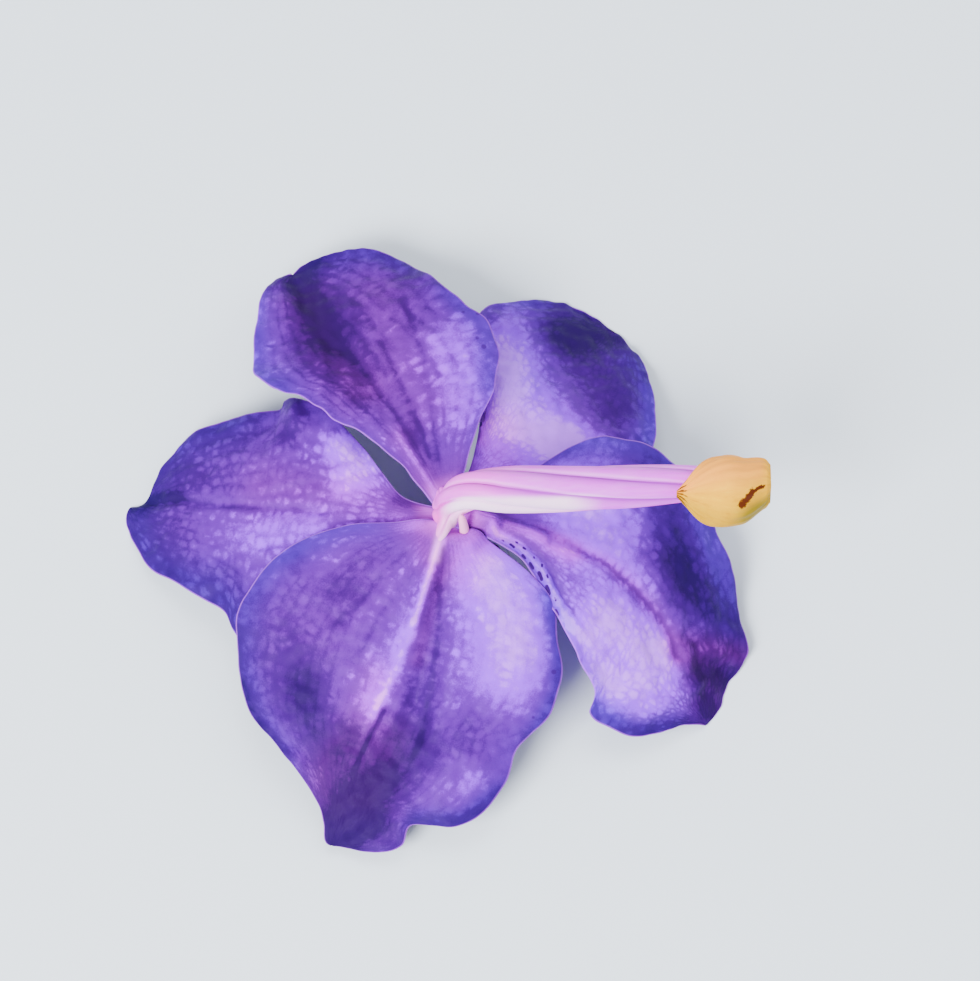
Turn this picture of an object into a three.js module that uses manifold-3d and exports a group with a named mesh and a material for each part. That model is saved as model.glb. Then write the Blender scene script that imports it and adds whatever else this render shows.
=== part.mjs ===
// A vanda orchid flower, picked with its stalk and laid face down on a flat surface.
//
// Millimetres, +Z up. The flower's back looks up and its lip hangs under it, so the tips of both petals and
// of the right lateral sepal carry it. Tepals, lip and column spread round the heart, the point where all
// of them meet the ovary. The stalk leaves the heart upwards, bends over and runs along +X above the sepals
// to the bract at its cut end.
import * as THREE from "three";
import { mergeVertices } from "three/addons/utils/BufferGeometryUtils.js";
import Module from "manifold-3d";

const wasm = await Module();
wasm.setup();

// ---------------------------------------------------------------- driving dimensions

const HEART = new THREE.Vector3(1.3, 0, 16); // where the tepals meet, in the part's frame
const CLEARANCE = 0.3; // between pieces that meet
const BLADE_THICKNESS = 0.7;
const BLADE_ROWS = 26; // from claw to apex
const BLADE_COLUMNS = 8; // from midrib to margin, on each side
const OVARY_RADIUS = 2.1; // where the tepals' claws meet it
const SEPAL_LIFT = 0.8; // the outer whorl sits above the heart
const PETAL_LIFT = -0.8; // and the inner whorl under it

// Each tepal is a flat pattern bent into shape. The pattern's first number runs out along the blade from
// its claw and its second runs across, positive to the left as seen from the heart. The blade heads out at
// `heading` degrees anticlockwise from +X, slopes down from `slopeAtClaw` to `slopeAtTip` degrees over
// `length`, drops away from its midrib by `fold` and `cup`, and its margins wave by `ruffle`.
const TEPALS = {
  dorsal_sepal: {
    whorl: "sepal", heading: 119, length: 42, slopeAtClaw: 4, slopeAtTip: 27, fold: -0.03, cup: 0.006,
    ruffle: { left: 0.7, right: 0.5, waves: 2.5 },
    midrib: [[0, 0.2], [11, -0.2], [22, 0], [33.5, 0.8], [41, 0.9], [44.2, 0.2]],
    left: [[0, 1.7], [5.5, 2.4], [11.5, 3.8], [18, 6.8], [23, 8.9], [25, 11], [28.5, 12.6], [32.5, 11.5],
      [39, 7.6], [43.5, 4.2], [44.4, 1.6], [44.2, 0.2]],
    right: [[0, -1.8], [2, -4.4], [5.5, -7.7], [11.5, -13.9], [16.5, -17], [21.5, -17.7], [27, -16.2],
      [37, -13.4], [41.5, -9.6], [43, -4.6], [44.1, -1.3], [44.2, 0.2]],
  },
  right_petal: {
    whorl: "petal", heading: 55, length: 39, slopeAtClaw: 10, slopeAtTip: 34.2, fold: 0.02, cup: 0.006,
    ruffle: { left: 0.4, right: 0.5, waves: 2 },
    midrib: [[0, 0.4], [5.5, 1.2], [17.5, 1.1], [32, 0.6], [39.5, 0.3]],
    left: [[0, 1.2], [5, 2.2], [10.5, 4.6], [15, 7], [20.5, 11], [25.5, 14.6], [29.5, 16], [34, 14.4],
      [38, 10.4], [39.5, 5.8], [39.8, 2.4], [39.5, 0.3]],
    right: [[0, -1], [3.8, -1.5], [7.5, -4.2], [10, -8.6], [13.5, -12.9], [18, -15.1], [22, -15.6], [28, -13.2],
      [33.5, -9.3], [37.5, -5.3], [39.4, -1.6], [39.5, 0.3]],
  },
  right_lateral_sepal: {
    whorl: "sepal", heading: -36, length: 43, slopeAtClaw: 4, slopeAtTip: 43.4, fold: 0.02, cup: 0.006,
    ruffle: { left: 0.5, right: 0.8, waves: 2.5 },
    midrib: [[0, 0.6], [6, 3.2], [11, 5.1], [19.5, 7.3], [25, 6.9], [31, 4.6], [37, 1.6], [42.8, 0.3]],
    left: [[0, 2.2], [1.2, 5.1], [2.2, 8.4], [3.4, 13.7], [5.8, 19.9], [10.7, 23.6], [16, 25], [23, 24],
      [31.5, 19.8], [37.4, 15.4], [40.6, 12.4], [41.9, 9.3], [42.1, 6.2], [43, 3], [42.8, 0.3]],
    right: [[0, -0.8], [3.4, 0.7], [7, 1.3], [11, 0.8], [14, -0.4], [19, -3], [23.5, -5.6], [27, -6.9],
      [28.5, -9.2], [31.5, -9], [35, -8], [38.5, -4], [41, -0.9], [42.8, 0.3]],
  },
  left_lateral_sepal: {
    whorl: "sepal", heading: -111, length: 44, slopeAtClaw: 4, slopeAtTip: 36, fold: 0.04, cup: 0.008,
    ruffle: { left: 0.8, right: 0.5, waves: 3 },
    midrib: [[0, 0], [7, 0], [15, 0.5], [24, 0.5], [33, -0.2], [44.5, 0]],
    left: [[0, 2], [-0.6, 5], [0.4, 9], [2.7, 14.8], [6.5, 17.8], [12, 20.3], [17.3, 21.1], [21.5, 19.5],
      [25, 18.2], [29.5, 18.4], [33.6, 17.2], [36.5, 14.4], [38.3, 9.1], [41.3, 8.5], [43.6, 4.8], [44.5, 0]],
    right: [[0, -2], [0.5, -4.5], [1.7, -7.2], [4.2, -13.2], [8.6, -18.5], [13, -21], [19.6, -22],
      [26.3, -20], [31.7, -16], [34.5, -11], [37, -6.8], [40.5, -2.8], [44, -1.2], [44.5, 0]],
  },
  left_petal: {
    whorl: "petal", heading: 173.5, length: 43, slopeAtClaw: 10, slopeAtTip: 29.8, fold: 0, cup: 0.006,
    ruffle: { left: 0.5, right: 0.6, waves: 3 },
    midrib: [[0, 0], [12.5, 0.3], [26.5, -0.4], [39.5, -1.6], [44, -1.7]],
    left: [[0, 1], [4, 2.6], [6.3, 6.2], [12.5, 12.8], [19, 16], [24.3, 17.2], [26.5, 15.8], [28.3, 13],
      [34, 10.3], [39.7, 6.9], [43.2, 2.6], [44.4, 0], [44, -1.7]],
    right: [[0, -1], [3, -1.6], [5.2, -2.8], [8.5, -6.6], [14.3, -12.7], [20.6, -16.4], [23.3, -16.6],
      [24.3, -15.2], [29, -14.4], [36, -11.7], [40, -7.2], [42, -2.6], [44, -1.7]],
  },
};
const CLAW_RADIUS = OVARY_RADIUS + CLEARANCE;

// The stalk and ovary: centre line from the heart to the cut end, relative to the heart, and the radius at
// each of its points.
const STALK_LINE = [
  [0, 0, -1.4], [0, 0.1, 1.6], [0.3, 0.3, 4.4], [2.4, 0.6, 7.1], [7, 0.5, 7.9], [14, 0.5, 8.1],
  [22, 0.8, 8.1], [30, 1.3, 8], [36, 1.5, 7.8], [41, 1.6, 7.6],
];
const STALK_RADII = [2, 2, 2.2, 2.5, 3, 3.05, 2.9, 2.4, 1.9, 1.7];
const STALK_RIBS = 6;
const RIB_DEPTH = 0.16; // share of the radius
const STALK_TWIST = 210; // degrees from end to end
const STALK_TURN = 39; // degrees, where its first groove starts
const STALK_STEPS = 34;
const STALK_SIDES = 24;

// The bract: a cupped scale round the stalk's cut end.
const BRACT_SHARE = 0.24; // of the stalk's length that it covers
const BRACT_THICKNESS = 0.7;
const BRACT_RADII = [2.2, 3.4, 4.1, 4, 3.5]; // inside, from the cut end to its tip
const BRACT_HALF_ANGLES = [118, 112, 98, 66, 6];
const BRACT_TILT = 24; // degrees from straight up, about the stalk
const BRACT_SAG = 1.1; // how far it bulges out to -Y

// The lip hangs between the two lateral sepals.
const LIP = {
  heading: -62, start: 2.9, drop: 4.2, length: 18, slopeAtClaw: 22, slopeAtTip: 48, fold: -0.1, cup: 0.03,
  thickness: 1.3,
  midrib: [[0, 0], [6, 0], [12, 0], [16.8, 0]],
  half: [[0, 1.5], [1, 3], [2.6, 4.1], [4.2, 3.6], [5.8, 2.7], [8, 3.6], [11.5, 4.6], [14.5, 4.3],
    [17, 3], [18, 1.4], [16.8, 0]],
};
const KEEL_HEIGHT = 0.5;
const SIDE_LOBE = { height: 3.6, length: 4, thickness: 0.8, apart: 1.8 };
const SPUR = { radius: 1.25, tipRadius: 0.75, height: 8.4, lean: 0.6 };

// The column stands on the ovary's front, over the lip, and carries the anther cap on its end.
const COLUMN_LENGTH = 6;
const COLUMN_RADII = [2, 1.85, 1.95, 2.25, 2.2, 1.7];
const STIGMA = { radius: 1.15, depth: 1.35 };
const CAP = { radius: 1.85, wall: 0.4, height: 1.7 };
const POLLINIUM_RADIUS = 0.5;

// ---------------------------------------------------------------- solids

// A mesh that manifold-3d can join and cut.
function solidOf(geometry) {
  const bare = geometry.clone();
  bare.deleteAttribute("normal");
  bare.deleteAttribute("uv");
  const merged = mergeVertices(bare, 1e-4);
  return new wasm.Manifold(
    new wasm.Mesh({
      numProp: 3,
      vertProperties: new Float32Array(merged.attributes.position.array),
      triVerts: new Uint32Array(merged.index.array),
    }),
  );
}

function geometryOf(solid) {
  const mesh = solid.getMesh();
  const geometry = new THREE.BufferGeometry();
  geometry.setAttribute("position", new THREE.BufferAttribute(new Float32Array(mesh.vertProperties), 3));
  geometry.setIndex(new THREE.BufferAttribute(new Uint32Array(mesh.triVerts), 1));
  geometry.computeVertexNormals();
  return geometry;
}

function geometryFrom(points, triangles) {
  const geometry = new THREE.BufferGeometry();
  const numbers = points.flatMap((point) => point.toArray());
  geometry.setAttribute("position", new THREE.Float32BufferAttribute(numbers, 3));
  geometry.setIndex(triangles.flat());
  geometry.computeVertexNormals();
  return geometry;
}

// What would go through the surface is cut off flat, which leaves the spots that the flower rests on.
function cutAtSurface(solid) {
  const depth = 20;
  const below = new THREE.BoxGeometry(200, 200, depth).translate(0, 0, -depth / 2);
  return solid.subtract(solidOf(below));
}

// A closed tube through rings that all have the same number of points, capped at both ends.
function tubeThrough(rings) {
  const sides = rings[0].length;
  const points = rings.flat();
  const triangles = [];
  const at = (ring, side) => ring * sides + (side % sides);
  for (let ring = 0; ring + 1 < rings.length; ring++) {
    for (let side = 0; side < sides; side++) {
      triangles.push([at(ring, side), at(ring, side + 1), at(ring + 1, side)]);
      triangles.push([at(ring, side + 1), at(ring + 1, side + 1), at(ring + 1, side)]);
    }
  }
  const middle = (ring) => ring.reduce((sum, p) => sum.add(p), new THREE.Vector3()).divideScalar(sides);
  const first = points.push(middle(rings[0])) - 1;
  const last = points.push(middle(rings[rings.length - 1])) - 1;
  for (let side = 0; side < sides; side++) {
    triangles.push([first, at(0, side + 1), at(0, side)]);
    triangles.push([last, at(rings.length - 1, side), at(rings.length - 1, side + 1)]);
  }
  return geometryFrom(points, triangles);
}

// A closed sheet between two grids of rows × columns points, split into triangles alike on both faces.
function sheetBetween(top, bottom) {
  const rows = top.length;
  const columns = top[0].length;
  const points = [...top.flat(), ...bottom.flat()];
  const under = rows * columns;
  const at = (row, column) => row * columns + column;
  const triangles = [];
  for (let row = 0; row + 1 < rows; row++) {
    for (let column = 0; column + 1 < columns; column++) {
      const [a, b] = [at(row, column), at(row, column + 1)];
      const [c, d] = [at(row + 1, column), at(row + 1, column + 1)];
      triangles.push([a, c, b], [b, c, d]);
      triangles.push([a + under, b + under, c + under], [b + under, d + under, c + under]);
    }
  }
  const rim = [];
  for (let column = 0; column < columns; column++) rim.push(at(0, column));
  for (let row = 1; row < rows; row++) rim.push(at(row, columns - 1));
  for (let column = columns - 2; column >= 0; column--) rim.push(at(rows - 1, column));
  for (let row = rows - 2; row > 0; row--) rim.push(at(row, 0));
  rim.forEach((a, i) => {
    const b = rim[(i + 1) % rim.length];
    triangles.push([a, b, a + under], [b, b + under, a + under]);
  });
  return geometryFrom(points, triangles);
}

// ---------------------------------------------------------------- curves

const radians = THREE.MathUtils.degToRad;

// An even walk along a smooth line through [out, across] points.
function walk(points, steps) {
  const line = new THREE.SplineCurve(points.map(([out, across]) => new THREE.Vector2(out, across)));
  return line.getSpacedPoints(steps);
}

// A value that runs smoothly through `stations`, at share 0 to 1 of the way.
function between(stations, share) {
  const line = new THREE.CatmullRomCurve3(
    stations.map((value, i) => new THREE.Vector3(i / (stations.length - 1), value, 0)),
    false, "catmullrom", 0.5,
  );
  return line.getPoint(share).y;
}

// Where a blade's midrib is after `out` mm of sloping ever more: how far out, how far down, and its slope.
function droop(blade, out) {
  const steps = 24;
  let [reach, fall] = [0, 0];
  const slopeAt = (distance) => {
    const share = THREE.MathUtils.clamp(distance / blade.length, 0, 1);
    return radians(THREE.MathUtils.lerp(blade.slopeAtClaw, blade.slopeAtTip, share));
  };
  for (let i = 0; i < steps; i++) {
    const slope = slopeAt(((i + 0.5) / steps) * out);
    reach += (Math.cos(slope) * out) / steps;
    fall += (Math.sin(slope) * out) / steps;
  }
  return { reach, fall, slope: slopeAt(out) };
}

// The point of a bent blade at [out, across] of its flat pattern, `raise` above its middle surface.
function bent(blade, out, across, raise) {
  const { reach, fall, slope } = droop(blade, out);
  const lowered = blade.fold * Math.abs(across) + blade.cup * across * across - raise;
  const point = new THREE.Vector3(
    blade.start + reach - Math.sin(slope) * lowered,
    across,
    blade.level - fall - Math.cos(slope) * lowered,
  );
  return point.applyAxisAngle(new THREE.Vector3(0, 0, 1), radians(blade.heading)).add(HEART);
}

// ---------------------------------------------------------------- pieces

// How far a blade's margin waves up at share `along` of its length, `share` of the way from midrib to
// margin.
function ruffled(ruffle, onRight, along, share) {
  const height = onRight ? ruffle.right : ruffle.left;
  const fade = Math.sin(Math.PI * along) * share ** 3;
  return height * fade * Math.sin(2 * Math.PI * ruffle.waves * along);
}

function tepal(name) {
  const own = TEPALS[name];
  const blade = { ...own, start: CLAW_RADIUS, level: own.whorl === "sepal" ? SEPAL_LIFT : PETAL_LIFT };
  const midrib = walk(own.midrib, BLADE_ROWS);
  const left = walk(own.left, BLADE_ROWS);
  const right = walk(own.right, BLADE_ROWS);
  const face = (raise) =>
    midrib.map((middle, row) => {
      const along = row / BLADE_ROWS;
      const points = [];
      for (let column = -BLADE_COLUMNS; column <= BLADE_COLUMNS; column++) {
        const share = Math.abs(column) / BLADE_COLUMNS;
        const margin = column < 0 ? right[row] : left[row];
        const [out, across] = [
          THREE.MathUtils.lerp(middle.x, margin.x, share),
          THREE.MathUtils.lerp(middle.y, margin.y, share),
        ];
        points.push(bent(blade, out, across, raise + ruffled(own.ruffle, column < 0, along, share)));
      }
      return points;
    });
  const sheet = solidOf(sheetBetween(face(BLADE_THICKNESS / 2), face(-BLADE_THICKNESS / 2)));
  return geometryOf(cutAtSurface(sheet).subtract(spur(CLEARANCE)));
}

function stalkFrame(share) {
  const line = new THREE.CatmullRomCurve3(STALK_LINE.map(([x, y, z]) => new THREE.Vector3(x, y, z)));
  const centre = line.getPoint(share);
  const forward = line.getTangent(share);
  const side = new THREE.Vector3(0, 1, 0).cross(forward).normalize();
  return { centre, side, over: forward.clone().cross(side) };
}

function stalkAndOvary() {
  const rings = [];
  for (let step = 0; step <= STALK_STEPS; step++) {
    const share = step / STALK_STEPS;
    const { centre, side, over } = stalkFrame(share);
    const radius = between(STALK_RADII, share);
    const ring = [];
    for (let i = 0; i < STALK_SIDES; i++) {
      const angle = (2 * Math.PI * i) / STALK_SIDES;
      const groove = Math.abs(Math.sin((STALK_RIBS / 2) * angle)) ** 0.7;
      const reach = radius * (1 - RIB_DEPTH + RIB_DEPTH * groove);
      const turned = angle + radians(STALK_TURN + STALK_TWIST * share);
      ring.push(centre.clone()
        .addScaledVector(side, reach * Math.cos(turned))
        .addScaledVector(over, reach * Math.sin(turned))
        .add(HEART));
    }
    rings.push(ring);
  }
  return tubeThrough(rings);
}

function bract() {
  const rows = 12;
  const columns = 14;
  const face = (raise) => {
    const grid = [];
    for (let row = 0; row <= rows; row++) {
      const share = row / rows;
      const { centre } = stalkFrame(1 - BRACT_SHARE * share);
      centre.y -= BRACT_SAG * THREE.MathUtils.smoothstep(share, 0, 0.35);
      const radius = between(BRACT_RADII, share) + raise;
      const half = radians(between(BRACT_HALF_ANGLES, share));
      const points = [];
      for (let column = 0; column <= columns; column++) {
        const angle = radians(BRACT_TILT) + half * ((2 * column) / columns - 1);
        const outwards = new THREE.Vector3(0, -Math.sin(angle), Math.cos(angle));
        points.push(outwards.multiplyScalar(radius).add(centre).add(HEART));
      }
      grid.push(points);
    }
    return grid;
  };
  return sheetBetween(face(BRACT_THICKNESS), face(0));
}

function lip() {
  const blade = { ...LIP, level: -LIP.drop };
  const rows = 18;
  const columns = 6;
  const midrib = walk(LIP.midrib, rows);
  const margin = walk(LIP.half, rows);
  const face = (side) =>
    midrib.map((middle, row) => {
      const points = [];
      for (let column = -columns; column <= columns; column++) {
        const share = Math.abs(column) / columns;
        const out = THREE.MathUtils.lerp(middle.x, margin[row].x, share);
        const across = Math.sign(column) * THREE.MathUtils.lerp(middle.y, margin[row].y, share);
        const thickness = LIP.thickness * (1 - 0.4 * share);
        const keel = side < 0 ? KEEL_HEIGHT * Math.cos(3 * Math.PI * share) ** 2 * (1 - share) : 0;
        points.push(bent(blade, out, across, side * (thickness / 2 + keel)));
      }
      return points;
    });
  const midLobe = solidOf(sheetBetween(face(1), face(-1)));
  return geometryOf([...sideLobes(), spur()].reduce((joined, more) => joined.add(more), midLobe));
}

// The two ears that stand beside the column, at the lip's foot.
function sideLobes() {
  const outline = new THREE.Shape();
  outline.moveTo(-1, 0.6);
  outline.lineTo(SIDE_LOBE.length, -1.2);
  outline.quadraticCurveTo(SIDE_LOBE.length, -SIDE_LOBE.height, SIDE_LOBE.length * 0.55, -SIDE_LOBE.height);
  outline.quadraticCurveTo(-0.4, -SIDE_LOBE.height, -1, 0.6);
  const flat = { depth: SIDE_LOBE.thickness, bevelEnabled: false, curveSegments: 6 };
  return [-1, 1].map((side) => {
    const ear = new THREE.ExtrudeGeometry(outline, flat);
    ear.translate(0, 0, -SIDE_LOBE.thickness / 2).rotateX(Math.PI / 2 + side * radians(14));
    ear.translate(LIP.start + 0.9, side * SIDE_LOBE.apart, -LIP.drop - 0.4);
    ear.rotateZ(radians(LIP.heading)).translate(HEART.x, HEART.y, HEART.z);
    return solidOf(ear);
  });
}

// The nectar spur: a blunt cone from the lip's foot up between the lateral sepals, made `wider` all round.
function spur(wider = 0) {
  const profile = [
    [0, -1], [SPUR.radius, -1], [SPUR.radius, 0.5], [(SPUR.radius + SPUR.tipRadius) / 2, SPUR.height * 0.6],
    [SPUR.tipRadius, SPUR.height * 0.88], [SPUR.tipRadius * 0.55, SPUR.height * 0.98], [0, SPUR.height],
  ].map(([radius, height]) => [radius && radius + wider, height + Math.sign(height) * wider]);
  const cone = new THREE.LatheGeometry(profile.map(([r, z]) => new THREE.Vector2(r, z)), 12);
  cone.rotateX(Math.PI / 2).rotateY(-Math.atan(SPUR.lean / SPUR.height));
  cone.translate(LIP.start + SPUR.radius, 0, -LIP.drop).rotateZ(radians(LIP.heading));
  return solidOf(cone.translate(HEART.x, HEART.y, HEART.z));
}

const columnTop = -1.4 - CLEARANCE; // relative to the heart
const columnEnd = columnTop - COLUMN_LENGTH;

function column() {
  const rings = [];
  const steps = 12;
  const sides = 20;
  for (let step = 0; step <= steps; step++) {
    const share = step / steps;
    const radius = between(COLUMN_RADII, share);
    const ring = [];
    for (let i = 0; i < sides; i++) {
      const angle = (-2 * Math.PI * i) / sides;
      const flat = 1 - 0.1 * Math.max(0, Math.cos(angle)) ** 2;
      const height = columnTop - COLUMN_LENGTH * share;
      ring.push(new THREE.Vector3(radius * flat * Math.cos(angle), radius * Math.sin(angle), height));
    }
    rings.push(ring);
  }
  const post = tubeThrough(rings);
  const hollow = new THREE.SphereGeometry(STIGMA.radius, 14, 10).scale(1, 0.95, 1.25);
  hollow.translate(COLUMN_RADII[3] + STIGMA.radius - STIGMA.depth, 0, columnEnd + 2.1);
  const carved = geometryOf(solidOf(post).subtract(solidOf(hollow)));
  return carved.rotateZ(radians(LIP.heading)).translate(HEART.x, HEART.y, HEART.z);
}

// A hollow dome over the pollinia, with a short beak towards the lip.
function antherCap() {
  const arc = (radius, height, steps, from, to) =>
    Array.from({ length: steps + 1 }, (_, i) => {
      const angle = THREE.MathUtils.lerp(from, to, i / steps) * Math.PI / 2;
      return new THREE.Vector2(radius * Math.cos(angle), -height * Math.sin(angle));
    });
  const profile = [
    ...arc(CAP.radius, CAP.height, 7, 1, 0),
    ...arc(CAP.radius - CAP.wall, CAP.height - CAP.wall, 6, 0, 1),
  ];
  profile[0].x = 0;
  profile[profile.length - 1].x = 0;
  const dome = solidOf(new THREE.LatheGeometry(profile, 18).rotateX(Math.PI / 2));
  const beak = new THREE.ConeGeometry(0.55, 1.4, 8).rotateZ(-Math.PI / 2).rotateY(radians(28));
  beak.translate(CAP.radius + 0.05, 0, -0.75);
  const inside = new THREE.CylinderGeometry(CAP.radius - CAP.wall, CAP.radius - CAP.wall, 2, 18)
    .rotateX(Math.PI / 2).translate(0, 0, 0);
  const trimmed = solidOf(beak).subtract(solidOf(inside));
  const cap = geometryOf(dome.add(trimmed));
  cap.translate(0, 0, columnEnd - CLEARANCE);
  return cap.rotateZ(radians(LIP.heading)).translate(HEART.x, HEART.y, HEART.z);
}

// Two waxy grains on one short stem, under the cap.
function pollinia() {
  const grains = [-1, 1].map((side) => {
    const grain = new THREE.SphereGeometry(POLLINIUM_RADIUS, 10, 8);
    return solidOf(grain.translate(-0.1, side * POLLINIUM_RADIUS * 0.9, 0));
  });
  const stem = new THREE.BoxGeometry(0.9, 0.5, 0.3).translate(0.4, 0, 0);
  const both = geometryOf(grains[0].add(grains[1]).add(solidOf(stem)));
  both.translate(0, 0, columnEnd - CLEARANCE - POLLINIUM_RADIUS);
  return both.rotateZ(radians(LIP.heading)).translate(HEART.x, HEART.y, HEART.z);
}

// ---------------------------------------------------------------- the flower

const finish = (color, roughness) => new THREE.MeshStandardMaterial({ color, roughness, metalness: 0 });
const finishes = {
  sepal: finish(0x8a68c8, 0.55),
  petal: finish(0x7d5fc4, 0.55),
  lip: finish(0x43208a, 0.45),
  column: finish(0xd9c2ea, 0.4),
  cap: finish(0xf3edd0, 0.4),
  pollinia: finish(0xe9b93a, 0.35),
  stalk: finish(0xe2b2ea, 0.4),
  bract: finish(0xe9c56a, 0.5),
};

const flower = new THREE.Group();

function place(name, geometry, material) {
  const mesh = new THREE.Mesh(geometry, material.clone());
  mesh.name = name;
  flower.add(mesh);
}

for (const name of Object.keys(TEPALS)) place(name, tepal(name), finishes[TEPALS[name].whorl]);
place("stalk_and_ovary", stalkAndOvary(), finishes.stalk);
place("bract", bract(), finishes.bract);
place("lip", lip(), finishes.lip);
place("column", column(), finishes.column);
place("anther_cap", antherCap(), finishes.cap);
place("pollinia", pollinia(), finishes.pollinia);

export default flower;
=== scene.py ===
"""A vanda orchid flower lying face down: fine sepals, petals, stalk, bract, lip and column."""
import math

import bpy
import numpy as np
from bpy.props import FloatProperty, FloatVectorProperty, PointerProperty
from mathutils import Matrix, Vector


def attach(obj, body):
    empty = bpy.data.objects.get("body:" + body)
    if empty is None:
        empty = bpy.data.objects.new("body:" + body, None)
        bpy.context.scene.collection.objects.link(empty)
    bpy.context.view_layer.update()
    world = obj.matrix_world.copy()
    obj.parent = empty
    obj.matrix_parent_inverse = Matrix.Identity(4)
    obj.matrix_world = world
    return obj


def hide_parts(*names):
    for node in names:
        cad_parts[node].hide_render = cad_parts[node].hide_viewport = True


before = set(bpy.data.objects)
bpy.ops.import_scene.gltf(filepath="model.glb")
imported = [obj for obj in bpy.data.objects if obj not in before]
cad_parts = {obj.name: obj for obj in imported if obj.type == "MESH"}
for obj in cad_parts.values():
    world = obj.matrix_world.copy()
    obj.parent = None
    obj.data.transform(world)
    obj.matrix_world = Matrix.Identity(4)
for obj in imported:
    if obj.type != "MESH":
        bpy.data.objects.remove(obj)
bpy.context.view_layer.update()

bl_info = {
    "name": "Vanda orchid flower",
    "version": (1, 0, 0),
    "blender": (4, 5, 0),
    "location": "View3D > Sidebar > Orchid",
    "description": "Adds the sepals, petals, stalk, bract, lip and column of a vanda orchid flower",
    "category": "Add Mesh",
}

MM = 0.001

# ---------------------------------------------------------------- the flower's layout, in millimetres

HEART = np.array([1.3, 0.0, 16.0])  # where the tepals meet
CLAW_RADIUS = 2.4  # where the claws start
SEPAL_LIFT = 0.8
PETAL_LIFT = -0.8

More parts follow.
